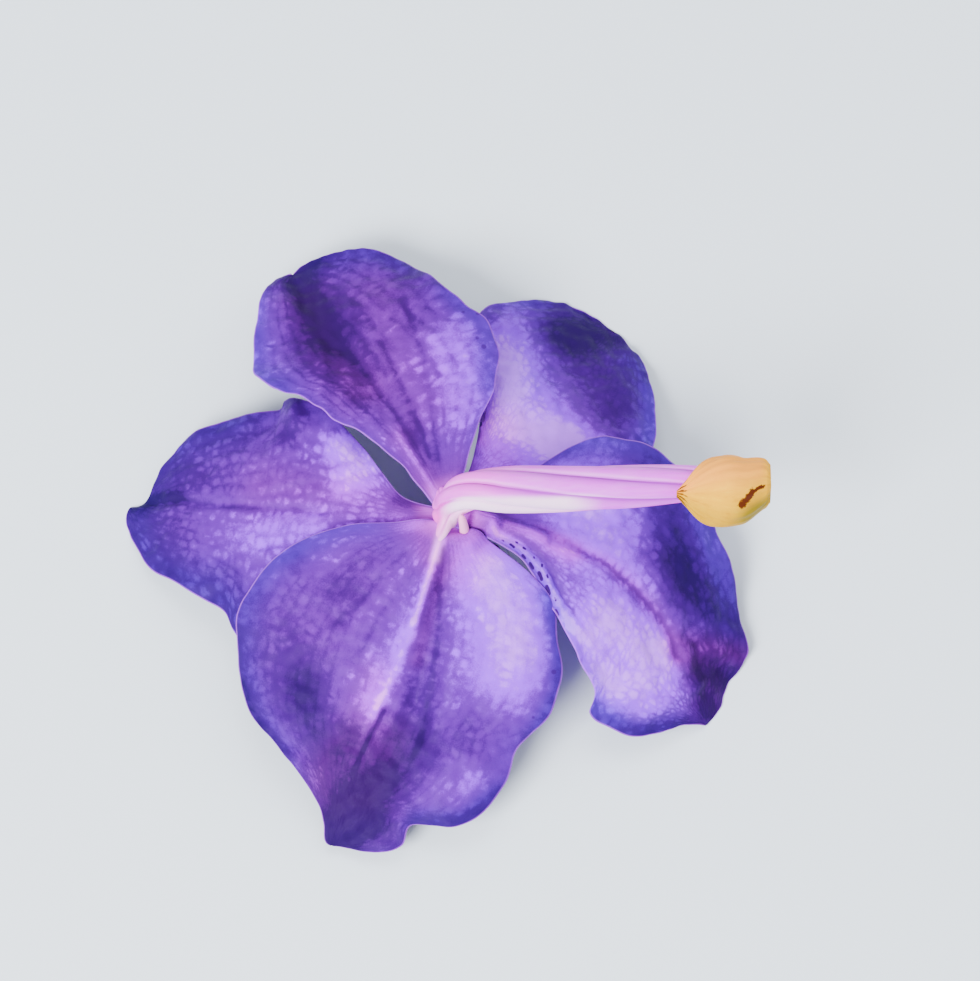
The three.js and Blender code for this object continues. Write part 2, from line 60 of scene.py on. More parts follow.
# Each tepal is a flat pattern bent into shape. The pattern's points run out along the blade from its claw,
# and across it, left positive. The blade heads out at `heading` degrees, anticlockwise from +X, and slopes
# down from slope_at_claw to slope_at_tip over its length. It drops away from its midrib by fold and cup, and
# its margins wave by the ruffles. cells_out and cells_across count the cells of its net. net and vein say how
# strongly both show, and smooth_to where along the blade the net has come in. The claw's end is tucked in
# under the stalk by tuck.
TEPALS = {
    "dorsal_sepal": dict(
        whorl="sepal", heading=119, length=42, slope_at_claw=4, slope_at_tip=27, fold=-0.03, cup=0.006,
        ruffle_left=0.7, ruffle_right=0.5, waves=2.5,
        cells_out=33, cells_across=6.5, vein=0.09, net=1.05, smooth_to=0.2, tuck=0.3,
        midrib=[(0, 0.2), (11, -0.2), (22, 0), (33.5, 0.8), (41, 0.9), (44.2, 0.2)],
        left=[(0, 1.7), (5.5, 2.4), (11.5, 3.8), (18, 6.8), (23, 8.9), (25, 11), (28.5, 12.6), (32.5, 11.5),
              (39, 7.6), (43.5, 4.2), (44.4, 1.6), (44.2, 0.2)],
        right=[(0, -1.8), (2, -4.4), (5.5, -7.7), (11.5, -13.9), (16.5, -17), (21.5, -17.7), (27, -16.2),
               (37, -13.4), (41.5, -9.6), (43, -4.6), (44.1, -1.3), (44.2, 0.2)],
    ),
    "right_petal": dict(
        whorl="petal", heading=55, length=39, slope_at_claw=10, slope_at_tip=34.2, fold=0.02, cup=0.006,
        ruffle_left=0.4, ruffle_right=0.5, waves=2,
        cells_out=34, cells_across=12, vein=0.02, net=0.75, smooth_to=0.2, tuck=0.3,
        midrib=[(0, 0.4), (5.5, 1.2), (17.5, 1.1), (32, 0.6), (39.5, 0.3)],
        left=[(0, 1.2), (5, 2.2), (10.5, 4.6), (15, 7), (20.5, 11), (25.5, 14.6), (29.5, 16), (34, 14.4),
              (38, 10.4), (39.5, 5.8), (39.8, 2.4), (39.5, 0.3)],
        right=[(0, -1), (3.8, -1.5), (7.5, -4.2), (10, -8.6), (13.5, -12.9), (18, -15.1), (22, -15.6),
               (28, -13.2), (33.5, -9.3), (37.5, -5.3), (39.4, -1.6), (39.5, 0.3)],
    ),
    "right_lateral_sepal": dict(
        whorl="sepal", heading=-36, length=43, slope_at_claw=4, slope_at_tip=43.4, fold=0.02, cup=0.006,
        ruffle_left=0.5, ruffle_right=0.8, waves=2.5,
        cells_out=36, cells_across=12, vein=0.03, net=0.8, smooth_to=0.44, tuck=1.2,
        midrib=[(0, 0.6), (6, 3.2), (11, 5.1), (19.5, 7.3), (25, 6.9), (31, 4.6), (37, 1.6), (42.8, 0.3)],
        left=[(0, 2.2), (1.2, 5.1), (2.2, 8.4), (3.4, 13.7), (5.8, 19.9), (10.7, 23.6), (16, 25), (23, 24),
              (31.5, 19.8), (37.4, 15.4), (40.6, 12.4), (41.9, 9.3), (42.1, 6.2), (43, 3), (42.8, 0.3)],
        right=[(0, -1.7), (2, -1), (4, -0.1), (7, 0.4), (11, -0.3), (14, -1.4), (19, -3.5), (23.5, -5.7),
               (27, -6.9), (28.5, -9.2), (31.5, -9), (35, -8), (38.5, -4), (41, -0.9), (42.8, 0.3)],
    ),
    "left_lateral_sepal": dict(
        whorl="sepal", heading=-111, length=44, slope_at_claw=4, slope_at_tip=36, fold=0.04, cup=0.008,
        ruffle_left=0.8, ruffle_right=0.5, waves=3,
        cells_out=40, cells_across=14, vein=0.04, net=0.9, smooth_to=0.2, tuck=0.5,
        midrib=[(0, 0), (7, 0), (15, 0.5), (24, 0.5), (33, -0.2), (44.5, 0)],
        left=[(0, 2), (-0.6, 5), (0.4, 9), (2.7, 14.8), (6.5, 17.8), (12, 20.3), (17.3, 21.1), (21.5, 19.5),
              (25, 18.2), (29.5, 18.4), (33.6, 17.2), (36.5, 14.4), (38.3, 9.1), (41.3, 8.5), (43.6, 4.8),
              (44.5, 0)],
        right=[(0, -2), (0.5, -4.5), (1.7, -7.2), (4.2, -13.2), (8.6, -18.5), (13, -21), (19.6, -22),
               (26.3, -20), (31.7, -16), (34.5, -11), (37, -6.8), (40.5, -2.8), (44, -1.2), (44.5, 0)],
    ),
    "left_petal": dict(
        whorl="petal", heading=173.5, length=43, slope_at_claw=10, slope_at_tip=29.8, fold=0, cup=0.006,
        ruffle_left=0.5, ruffle_right=0.6, waves=3,
        cells_out=34, cells_across=9, vein=0.04, net=1, smooth_to=0.2, tuck=0.3,
        midrib=[(0, 0), (12.5, 0.3), (26.5, -0.4), (39.5, -1.6), (44, -1.7)],
        left=[(0, 1), (4, 2.6), (6.3, 6.2), (12.5, 12.8), (19, 16), (24.3, 17.2), (26.5, 15.8), (28.3, 13),
              (34, 10.3), (39.7, 6.9), (43.2, 2.6), (44.4, 0), (44, -1.7)],
        right=[(0, -1), (3, -1.6), (5.2, -2.8), (8.5, -6.6), (14.3, -12.7), (20.6, -16.4), (23.3, -16.6),
               (24.3, -15.2), (29, -14.4), (36, -11.7), (40, -7.2), (42, -2.6), (44, -1.7)],
    ),
}

# Brush strokes on each tepal's flat pattern, by kind: how much, how wide in millimetres, and the points that
# the stroke follows. "tone" darkens, or lightens below nought. "blue", "pink" and "white" tint, "spots" lets
# small dark dots show and "ink" lays a dark dot itself. "relief" raises the blade by that many millimetres,
# and so does "fold", with steeper sides.
# Some "tone" strokes are partly painted light or painted shade, as the notes at them say.
STROKES = {
    "dorsal_sepal": {
        "tone": [
            # The first two strokes darken the sunken midrib towards the tip. This is partly the blade's own
            # deep colour and partly painted shade in that crease.
            (0.46, 2.2, [(44, -1), (41, 0.6), (35, 0.8), (30, 1.2)]),
            (0.2, 4.5, [(42, 0), (34, 1.5), (27, 1.5)]),
            (0.16, 1.1, [(33, 1.2), (23, 0), (16, -0.8), (9, -0.6)]),
            (0.16, 3.2, [(31, 4.6), (24, 3.6), (18, 2.8)]),
            (0.12, 0.5, [(27, 0.6), (19, -0.1), (12, -0.5), (5, 0.1)]),
            (0.16, 0.5, [(25, -4), (17, -3.2), (12, -2.6), (6, -1.2)]),
            (0.14, 0.55, [(30, -10), (22, -8.3), (13, -5.6), (5, -1.9)]),
            (0.12, 0.5, [(24, 4.4), (17, 2.9), (11, 1.7)]),
            (0.08, 3.5, [(8, -2), (3, -1)]),
            (-0.12, 3.4, [(40, 7), (34, 10), (30, 11)]),
            (0.1, 0.7, [(29, -1.6), (22, -2), (15, -2.2), (9, -1.5)]),
            (0.08, 3.2, [(34, -9), (26, -8.6)]),
            (0.14, 3, [(42.5, -4), (40, -10), (36, -13.5)]),
            (-0.17, 5, [(20, -12.4), (16, -11.4), (10, -9)]),
            (0.06, 3, [(31, -13), (26, -13)]),
            (-0.2, 0.5, [(11, 0.9), (4, 0.7), (0, 0.6)]),
            (-0.1, 2.2, [(40, 6.4), (38, 8)]),
            (-0.1, 2, [(42, -8), (37.6, -11.6)]),
            (0.08, 1.8, [(36, -3), (33, -3.4)]),
            (-0.12, 1.6, [(40.5, 3), (38.6, 2.4)]),
            (-0.12, 1.2, [(19, -0.4), (14, -0.8)]),
            (0.12, 1.8, [(32.6, -2.8), (30, -2.8)]),
        ],
        "blue": [
            (0.6, 3.4, [(42, 6.6), (35, 10), (30, 12), (26, 10.4)]),
            (0.7, 3, [(42.5, -4), (40, -10), (36, -13.5)]),
            (0.5, 2, [(28, -15.8), (20, -17), (12, -13)]),
        ],
        "pink": [
            (0.6, 5.5, [(32, -7), (24, -5), (14, -3)]),
            (0.9, 3.4, [(38, 1), (34, 2), (28, 3), (20, 2)]),
            (0.6, 2, [(10, 0.6), (4, 0.8), (0, 0.5)]),
        ],
        "spots": [
            (1, 1.6, [(3, -5), (12, -13), (20, -16.8), (27, -15.5)]),
        ],
        "relief": [
            (-0.75, 1.9, [(43.5, 0), (38, 0.8), (33, 1), (26, 0.6), (16, -0.6)]),
            (0.6, 2.6, [(41, 6.6), (35, 10), (30, 12), (26, 10.5)]),
            (0.3, 0.9, [(10, 0.9), (4, 0.7), (0, 0.6)]),
            (-0.16, 0.7, [(25, -4), (17, -3.2), (12, -2.6), (6, -1.2)]),
            (-0.16, 0.8, [(30, -10), (22, -8.3), (13, -5.6), (5, -1.9)]),
        ],
    },
    "right_petal": {
        "tone": [
            (0.34, 3.6, [(33, 4), (36.5, 2.4), (39, -1)]),
            (0.26, 5, [(35, 6), (31, 0), (27, -7), (22, -10)]),
            (0.1, 3, [(32, -6), (26, -8)]),
            (-0.06, 4, [(34, 12), (28, 12)]),
            (-0.34, 5.4, [(22, 8), (17.5, 2), (14.5, -4)]),
            (-0.12, 2.4, [(14, 0), (16, -5)]),
            (-0.16, 3, [(33, -13), (27, -14.6)]),
            (-0.1, 3, [(11, 1), (6, 0)]),
            (0.3, 0.8, [(21, 11.8), (15, 7.6), (9, 4.4)]),
            (-0.15, 3, [(34, 13), (26, 9), (19, 6), (12, 4)]),
            (-0.18, 3, [(18, -5), (22, -9), (25, -12)]),
            (-0.1, 2, [(33, -9), (30, -11.4)]),
            (0.2, 0.4, [(19, 8.6), (16.8, 6.9), (14.2, 5.8), (12.1, 5)]),
            (-0.24, 2.6, [(18, -8), (15.6, -5.6)]),
            (-0.08, 3, [(31, -8), (27, -10)]),
            (-0.14, 1.6, [(25, 12.4), (20, 9.8)]),
        ],
        "blue": [
            (0.4, 6, [(30, 8), (22, 4)]),
            (0.85, 4.4, [(36, -5), (31, -11.5), (24, -15)]),
            (0.5, 4, [(36, 13), (39, 5)]),
        ],
        "pink": [
            (0.5, 3.5, [(12, 3), (8, 0), (4, 0)]),
            (0.6, 1.6, [(21, 11.6), (15, 7.3), (9, 4.2)]),
        ],
        "spots": [
            (1, 1.2, [(22, 12), (15, 7), (9, 4)]),
        ],
        "ink": [
            (0.9, 0.3, [(19.2, 10), (18.4, 9.5)]),
            (0.9, 0.3, [(16.8, 8.2), (16.2, 7.8)]),
            (0.8, 0.3, [(14.4, 6.6), (13.4, 6)]),
            (0.8, 0.3, [(11.6, 5), (11.2, 4.8)]),
        ],
        "relief": [
            (-0.5, 3.5, [(38, 1), (32, 1.5), (27, 1)]),
            (0.4, 4, [(20, 6), (18, -3)]),
        ],
    },
    "right_lateral_sepal": {
        "tone": [
            # The first three strokes darken the left half towards its margin. This is partly the blade's own
            # deeper colour and partly painted shade, where that half turns from the light under the stalk.
            (0.24, 3.4, [(21, 20), (27.5, 14.8), (33.5, 12.4), (39, 11.2)]),
            (0.08, 5, [(17, 20), (24, 17), (33, 14)]),
            (0.18, 2.4, [(15, 19.6), (21, 17), (27, 15), (33, 12.4)]),
            (-0.1, 1.9, [(16, 9), (21, 9.4), (25, 8.8)]),
            (-0.26, 2.2, [(20, -2.8), (25, -4.6)]),
            (-0.14, 1.8, [(24, 22.4), (30, 19.6), (35, 16)]),
            (-0.14, 1.4, [(38, 9.4), (41, 9)]),
            # Painted shade: darker above the claw's ridge, under the stalk.
            (0.03, 1.2, [(1, 3.8), (5, 5.4), (9, 6.7), (13, 8)]),
            (0.08, 2, [(24, 23), (31, 19), (37, 15)]),
            (0.4, 2.4, [(37.4, 5), (39.6, 5.8), (41.6, 7)]),
            (0.1, 0.5, [(8.4, 4.8), (12.9, 6), (17.8, 7.2), (22.3, 7.3), (26.3, 6.9), (30.1, 6),
                (33.1, 4.1)]),
            (-0.42, 4.4, [(23, 1), (28, 1), (31, -1.4), (29, -4.6)]),
            (-0.14, 1.5, [(34, -4), (37, -1.6)]),
            (-0.34, 4.5, [(9, 11), (13, 12), (17, 13)]),
            (-0.12, 3.5, [(6, 13), (9, 18)]),
            (-0.12, 1.3, [(0, 0.6), (4, 2.2), (8, 3.8), (13, 5.2)]),
            (-0.18, 2, [(30.4, 3.4), (33.6, 2)]),
            (-0.1, 3, [(10, 5.6), (16, 4.6), (19, 3.6)]),
            # Painted shade: darker above the claw's ridge, under the stalk.
            (0.08, 2, [(1.5, 5.5), (5, 6.6), (9, 7.6)]),
            (-0.36, 0.8, [(3.6, 0.9), (7.5, 1.4), (11, 1), (14, -0.1), (19, -2.6)]),
            # Painted shade along the crease under the claw's ridge.
            (0.16, 0.4, [(3.4, 1.5), (7, 2.5), (9.4, 2.5), (12, 1.8), (16, 0), (20, -1.8)]),
            (0.25, 2.2, [(30, -8.8), (35, -7.6), (38.5, -3.8), (41.5, -0.8)]),
            (0.2, 1.4, [(38.5, 2.6), (42, 3.4)]),
            (-0.1, 1.8, [(33, -7.6), (31, -8)]),
            (-0.1, 1.6, [(24, 21), (30, 18)]),
            (-0.1, 1.6, [(5, 19), (11, 23)]),
            (0.14, 2.6, [(20, 15), (28, 13.8)]),
            (0.3, 1.2, [(40.6, 2), (43, 1.4)]),
            (0.14, 2.4, [(17, 13), (24, 12.4), (29, 10.8)]),
            (-0.1, 3, [(20, 19), (28, 16), (34, 13)]),
            (-0.06, 1.4, [(36, 0.8), (38, 0.6)]),
            (0.1, 1.6, [(33, 6), (34.4, 7)]),
            (-0.08, 2, [(19, 13.6), (25, 16), (31, 15)]),
            (0.14, 1.2, [(40, 1.8), (41.6, 2.4)]),
            (0.12, 1.8, [(38, 8), (41, 9)]),
            (-0.08, 1.6, [(27, 5), (30, 4)]),
        ],
        "blue": [
            (1, 3.6, [(23, 23.4), (31, 19.4), (37, 15.2), (41, 11.5)]),
            (0.5, 5, [(20, 18), (28, 15), (36, 11)]),
            (0.6, 0.9, [(4, 0.9), (7.5, 1.4), (11, 1), (14, -0.1), (19, -2.7)]),
            (0.9, 2.8, [(29, -9), (35, -7.8), (39, -3.6)]),
            (0.6, 4, [(5, 18), (11, 23.5), (17, 24.6)]),
        ],
        "pink": [
            (1, 2.2, [(33, 5.6), (36.4, 8), (40.6, 10.4)]),
            (0.6, 1.1, [(8.4, 4.8), (12.9, 6), (17.8, 7.2), (22.3, 7.3), (26.3, 6.9), (30.1, 6),
                (33.1, 4.1)]),
            (0.95, 1.7, [(0, 0.6), (4, 2.2), (8, 3.8), (13, 5)]),
            (0.6, 1.6, [(40, 2.4), (43, 2.6)]),
            (0.7, 2, [(36.5, 5), (41, 5.4)]),
        ],
        "ink": [
            (0.8, 0.18, [(5.1, 0.8), (5.3, 0.8)]),
            (0.95, 0.23, [(6.3, 1), (6.8, 1)]),
            (0.8, 0.18, [(6.7, 1.8), (6.9, 1.8)]),
            (0.9, 0.2, [(7.9, 1.7), (8.1, 1.7)]),
            (0.95, 0.23, [(8.4, 0.8), (8.8, 0.7)]),
            (0.8, 0.18, [(9.6, 1.6), (9.8, 1.5)]),
            (0.95, 0.25, [(9.8, 0.6), (10.4, 0.4)]),
            (0.85, 0.18, [(11.1, 1.5), (11.3, 1.3)]),
            (1, 0.29, [(11.5, 0.4), (12.2, 0)]),
            (0.8, 0.18, [(12.5, 0.9), (12.7, 0.7)]),
            (1, 0.27, [(13.4, -0.3), (14.2, -0.8)]),
            (0.8, 0.18, [(15.2, -0.8), (15.4, -1)]),
            (0.9, 0.23, [(16.2, -2), (16.8, -2.4)]),
        ],
        "relief": [
            (0.4, 1.2, [(8, 3.7), (13, 5.2), (18, 6.6)]),
            (-0.6, 1, [(13, 6.2), (17.8, 7.3), (22.3, 7.4), (26.3, 7), (30.1, 6.1), (33, 4.6)]),
            (0.5, 3, [(22, 2), (28, 1.5), (32, -1)]),
            (-0.7, 1.6, [(33, 8), (36.5, 6.6), (40, 7.6)]),
            (0.6, 1.1, [(38, 3.4), (36.5, 0.6), (35, -4.5)]),
            (-0.35, 0.5, [(4, 1.4), (8, 2.4), (13, 1.5), (17, -0.5)]),
            (0.7, 1, [(37.4, 12.4), (39.6, 13), (41.6, 11.6)]),
        ],
        "fold": [
            (2, 1.5, [(-1.6, 0.2), (1.2, 0.6), (2.4, 1.2)]),
            (1.1, 1.1, [(1, 1.2), (3, 1.9), (6, 3.1), (9, 4)]),
        ],
    },
    "left_lateral_sepal": {
        "tone": [
            # The first six strokes lighten along the midrib's raised ridge and darken the grooves beside it.
            # This is partly the blade's own colour, partly painted light on the ridge and painted shade in
            # the grooves.
            (-0.4, 0.5, [(0, 0), (7, 0.4), (13, 0.7)]),
            (-0.12, 0.7, [(13, 0.9), (19, 0.9), (24, 0.1)]),
            (-0.12, 2.2, [(19, -1), (24.5, -1.6)]),
            (0.12, 0.9, [(3.5, 1.2), (11, 2), (17.5, 2.8), (23, 3.1)]),
            (0.14, 1.6, [(7.8, 2.4), (14, 4.2), (20.5, 5.7), (27, 6.5)]),
            (0.16, 0.5, [(7.8, 2.4), (14, 4.2), (20.5, 5.7), (27, 6.5), (30, 6.4)]),
            (0.36, 0.32, [(25, 0.9), (29.6, 0.2), (34.4, -0.3)]),
            (0.3, 4, [(43, 0), (38, 0), (33, 3)]),
            (0.34, 2.2, [(41.4, 1.4), (39.8, 6)]),
            (0.24, 2.2, [(43.6, 0.6), (40, 1.4), (36.5, 3)]),
            (0.22, 3.4, [(37, 2.8), (32, 5.6), (28.5, 7)]),
            (-0.36, 5, [(3, 8), (7.5, 10.4), (13, 13.6), (16, 14)]),
            (0.2, 1.1, [(22, -21.6), (27.5, -19.6)]),
            (0.22, 3, [(3, -6.4), (8, -9), (12, -10)]),
            (0.09, 5, [(14, -15), (22, -15), (28, -11)]),
            (0.18, 3, [(26, -11), (31, -7)]),
            (-0.1, 1.3, [(22, -0.8), (26, -0.6)]),
            (0.1, 1.3, [(21, 3.9), (25, 4.3), (29, 4.4)]),
            (0.14, 4, [(19, 14), (25, 14)]),
            (-0.1, 1.4, [(0.4, -3.6), (2, -6)]),
            (0.14, 3, [(43, -0.6), (37, 0)]),
            (-0.1, 1.4, [(38, 7), (40.6, 6.6)]),
            (-0.1, 3, [(5, 13.5), (12, 16)]),
            (0.12, 0.7, [(5, -3.7), (11, -6.3), (17.5, -8.8)]),
            (0.1, 0.6, [(6.8, -1.8), (12.7, -3.5), (20.2, -5)]),
            (0.08, 4.5, [(21, -14), (20, -9), (27, -11)]),
            (0.12, 3, [(24, -11), (30, -7), (34, -5)]),
            (0.04, 3, [(10, -19), (18, -20.6), (25, -18)]),
            (0.14, 1.2, [(5, 17), (12, 20), (18, 21), (24, 19)]),
            (0.2, 1.4, [(37.4, 9.6), (35.6, 15.4), (31, 18.6)]),
            (-0.1, 2.6, [(33, 10), (31, 14.6), (26, 16.6)]),
            (-0.08, 4, [(3, -5), (8, -12)]),
            (0.3, 1.1, [(29, -18.4), (32.4, -15.4), (35, -10.4)]),
            (-0.08, 1.8, [(33, -9.4), (32, -10)]),
            (0.06, 2, [(22, 12), (24, 11)]),
            (0.24, 2, [(29.6, -2.4), (32, -2.6)]),
            (-0.08, 1.4, [(9, 2.6), (14, 3)]),
            (-0.12, 1.8, [(32, 13), (30, 14)]),
            (-0.14, 1.6, [(0.4, -4.6), (2.6, -8.6)]),
            (-0.1, 1.6, [(10, -19.6), (13, -19.8)]),
            (0.08, 1.6, [(43.6, 0), (42, 1.6)]),
            (-0.12, 1.1, [(12.6, -0.6), (17, -0.4)]),
            (-0.12, 0.8, [(24, 0), (27, -0.2)]),
            (0.18, 1.2, [(25.4, 3), (28, 3)]),
            (0.12, 1.6, [(33.6, 12), (31.6, 12.4)]),
            (-0.16, 0.45, [(13, 0.6), (20, 0.4), (25, 0.1)]),
            (-0.06, 3, [(2.6, 5.6), (5, 6.6)]),
        ],
        "blue": [
            (0.6, 2.6, [(10, -20), (18, -21.6), (26, -19.5), (31, -15.5), (34.6, -10.5)]),
            (0.7, 1.4, [(3.6, 15.4), (9, 19), (15, 21), (22, 20)]),
            (0.9, 1.8, [(37.4, 9.6), (35.6, 15.4), (31, 18.6)]),
            (0.6, 2.4, [(2.5, -8), (5, -13), (9, -17.6)]),
        ],
        "pink": [
            (0.6, 3, [(22, -1.6), (30, -2.4), (35, -2.6)]),
            (0.4, 5, [(37, 1), (31, 1)]),
            (0.3, 7, [(9, -7), (18, -10)]),
            (0.6, 3.4, [(39, -2), (34, -3)]),
            (0.6, 3, [(36, 3), (28, 3)]),
            (0.8, 2.6, [(-2, -1.5), (1, -1), (4, 0)]),
            (0.5, 3, [(1, 3.6), (5, 4)]),
            (0.6, 1.2, [(3.5, 1.2), (11, 2), (17.5, 2.8)]),
        ],
        "white": [
            (0.6, 0.6, [(-1, -0.4), (2.4, 0), (4.4, 0.3)]),
            (0.12, 0.4, [(4.4, 0.3), (9, 0.6)]),
        ],
        "spots": [
            (1, 1.5, [(2, 12), (6, 16.4), (12, 19), (19, 20)]),
            (0.7, 1.8, [(2, -8), (5, -14), (12, -19)]),
        ],
        "relief": [
            (0.9, 0.9, [(0, 0), (7, 0.5), (13, 0.9)]),
            (0.5, 1.1, [(13, 0.9), (19, 0.8), (25, 0)]),
            (-0.5, 1, [(4, 1.8), (11, 2.8), (17.5, 3.6), (25, 4.4)]),
            (-0.25, 0.8, [(7.8, 4), (14, 6), (20.5, 7.4), (27, 7.6)]),
            (0.3, 3.5, [(25, -3), (30, -3), (34, -3)]),
            (-0.35, 2.6, [(24, -11), (30, -7.4), (35, -5), (40, -1)]),
            (0.4, 1.8, [(37, -7), (34, -11.4), (31, -16)]),
            (-0.25, 0.9, [(5, -3.7), (11, -6.3), (17.5, -8.8)]),
            (-0.3, 1.5, [(44, 1), (40, 4), (37, 8)]),
            (0.35, 2.5, [(33, 13), (28, 15.5)]),
        ],
        "fold": [
            (2.1, 1.3, [(-1, 4.2), (0.8, 3.6), (1.4, 2.2)]),
        ],
    },
    "left_petal": {
        "tone": [
            (0.3, 1, [(43.5, -2.2), (39, -2.6), (36, -2.4)]),
            (0.14, 3, [(37, -4.6), (32, -4)]),
            (0.1, 3, [(32, 5.4), (28, 6)]),
            (-0.1, 1.4, [(41.6, 2.6), (39, 6.6)]),
            (-0.12, 1.4, [(25, -14), (22, -14)]),
            (-0.08, 1, [(9, 0.6), (3, 0.5)]),
            (0.16, 0.4, [(37, -2.3), (34, -1.8), (28.4, -0.9), (18.3, -0.3)]),
            (0.16, 3, [(43, -0.5), (41.5, 4), (37, 8.5)]),
            (0.1, 3, [(42, -1), (38.6, 3)]),
            (0.16, 4, [(41, -5), (38, -8), (33, -10), (27, -12)]),
            (0.28, 2, [(22.2, -15.7), (21, -13.4), (21.5, -11)]),
            (-0.38, 2.8, [(13.3, -8.8), (10.4, -6.6), (12, -4.4)]),
            (0.06, 3, [(28, -5.4), (20, -4.6), (13, -3.6)]),
            (-0.16, 3, [(29, 4.6), (22, 3), (17, 2)]),
            (0.22, 1.1, [(5, -1.7), (2.4, -1.1)]),
            (0.18, 4, [(29, 11), (24.5, 16)]),
            (0.06, 4, [(36, -2), (36, 5)]),
            (-0.1, 1.4, [(35, -2.2), (31, -1.6)]),
            (-0.1, 2.2, [(18.6, 7.8), (16, 7.8)]),
            (-0.08, 1.6, [(4, 2), (7, 2.6)]),
        ],
        "blue": [
            (0.95, 3.4, [(43, 0), (40.6, 5), (36, 9)]),
            (0.75, 4, [(41, -5), (36.5, -10.5), (30.5, -13)]),
            (0.9, 4, [(30, 11), (24.5, 16)]),
        ],
        "pink": [
            (0.65, 4, [(24, -3.4), (15, -2.4), (6, -0.8)]),
        ],
        "spots": [
            (0.8, 2.2, [(38, -8), (33, -11.6), (26, -13), (21, -14)]),
        ],
        "relief": [
            (-0.5, 0.8, [(43, -2.2), (34, -1.7), (26, -0.7), (15, 0)]),
            (0.7, 1.4, [(22, -16), (21, -13)]),
            (0.35, 3, [(30, -7), (20, -6)]),
            (0.3, 3, [(28, 5), (18, 4)]),
        ],
    },
}

# A tepal's mesh, and the small unrest of its surface.
BLADE_ROWS = 190
BLADE_HALF_COLUMNS = 62
MARGIN_REACH = 44  # how far a margin's waves run from claw to tip
MARGINS_APART = 40  # so that the two margins wave on their own
LONG_WAVES = 0.16  # how far the longest waves rise
PUCKER_SHARE = 0.625  # of the pucker, as waves can reach past 1
FLOOR_GAP = 0.02  # that a blade's face keeps from the floor
PRESSED_THICKNESS = 0.2  # of a blade where it lies on the floor
NOISE_APART = 7.3  # so that each tepal's skin has a pattern of its own

STALK_LINE = [
    (0, 0, -1.4), (0, 0.1, 1.6), (0.3, 0.3, 4.4), (2.4, 0.6, 7.1), (7, 0.5, 7.9), (14, 0.5, 8.1),
    (22, 0.8, 8.1), (30, 1.3, 8), (36, 1.5, 7.8), (41, 1.6, 7.6),
]
STALK_RADII = [2, 2, 2.2, 2.5, 3, 3.05, 2.9, 2.4, 1.9, 1.7]
STALK_RIBS = 6
RIB_DEPTH = 0.16  # share of the radius
STALK_TWIST = 210  # degrees from end to end
STALK_TURN = 39  # degrees, where its first groove starts
HOOK_SHARE = 0.3  # share of the stalk that rises and bends over
# Over the heart the stalk flares, but less on the side where the spur comes up.
TRUMPET = dict(reach=0.7, height=1.3, spread=1.1, spur_heading=-62, spur_width=24, spur_share=0.8)
# Feet that run out over the sepals' claws: heading, length, half-width in degrees and height from the heart.
STALK_FEET = [(-111, 2.7, 15, 2.0), (119, 1, 16, 1.6)]
FOOT_ROUNDING = dict(over=0.9, under=0.7)  # how soon they fade above and below that height
# Headings of the stalk's pale rib, its pale foot, the blush along its hem and the blush round its bend.
STALK_MARKS = dict(pale_rib=-109, foot=-106, hem=-66, blush=-60)

BRACT_SHARE = 0.24  # of the stalk's length that it covers
BRACT_RADII = [2.2, 3.4, 4.1, 4, 3.5]
BRACT_HALF_ANGLES = [118, 112, 98, 66, 6]
BRACT_TILT = 24  # degrees, from up towards -Y
BRACT_SAG = 1.1  # towards -Y
BRACT_MIDDLE = 0.35  # of its thickness, over the radii above
BRACT_LENGTH = 9.3
BRACT_HALF_WIDTH = 6
# The browned scar on the bract, a thick stretch and a thin one: half-width, and points along and across.
SCAR = [(0.52, [(3.3, 1.1), (2.9, 0.8), (2.2, 0.2)]), (0.24, [(2.2, 0.2), (1.4, 0), (0.9, 0.1)])]

LIP = dict(
    heading=-62, start=2.9, level=-4.2, length=18, slope_at_claw=22, slope_at_tip=48, fold=-0.1, cup=0.03,
    thickness=1.3, keel=0.5,
    midrib=[(0, 0), (6, 0), (12, 0), (16.8, 0)],
    half=[(0, 1.5), (1, 3), (2.6, 4.1), (4.2, 3.6), (5.8, 2.7), (8, 3.6), (11.5, 4.6), (14.5, 4.3), (17, 3),
          (18, 1.4), (16.8, 0)],
)
SIDE_LOBE = dict(length=3.9, top=-4.5, fall=1.8, height=3.5, apart=1.75, flare=0.24, thickness=0.62)
# The spur leans back over the heart by lean and, near its tip, by curl. It stands taller than its solid by
# rise, and its tip is thinner by thinning. The hole for it in the tepals around is wider by room.
SPUR = dict(
    radius=1.25, tip_radius=0.75, height=8.4, lean=0.6, curl=0.95, rise=1.8, thinning=0.26,
    room=0.12, hole_rise=2.2, hole_thinning=0.2,
)

COLUMN_TOP = -1.7  # its height from the heart
COLUMN_LENGTH = 6
COLUMN_RADII = [2, 1.85, 1.95, 2.25, 2.2, 1.7]
COLUMN_SUNK = 0.25  # into the ovary
STIGMA = dict(depth=1.1, middle=0.66, width=0.55, length=0.2)
CAP = dict(radius=1.85, height=1.7, wall=0.42, below=0.3, crease=0.16, beak=0.75, outer_share=0.62)
POLLINIUM_RADIUS = 0.5

# The rendered picture, in pixels: its width, its middle and where the heart stands in it.
PICTURE_WIDTH = 980
PICTURE_MIDDLE = (490, 490.5)
HEART_IN_PICTURE = (452, 514)
SENSOR_WIDTH = 36  # millimetres
FLOOR_REACH = 1.6  # metres


def rgb(red, green, blue):
    """A colour given in screen values from 0 to 255, as the linear values that a shader takes."""
    channels = np.array([red, green, blue]) / 255
    return tuple(np.where(channels <= 0.04045, channels / 12.92, ((channels + 0.055) / 1.055) ** 2.4))


# ---------------------------------------------------------------- what a user would change


def colour(name, description, default):
    """A colour to pick."""
    return FloatVectorProperty(
        name=name, description=description, subtype="COLOR", size=3, min=0, max=1, default=default
    )


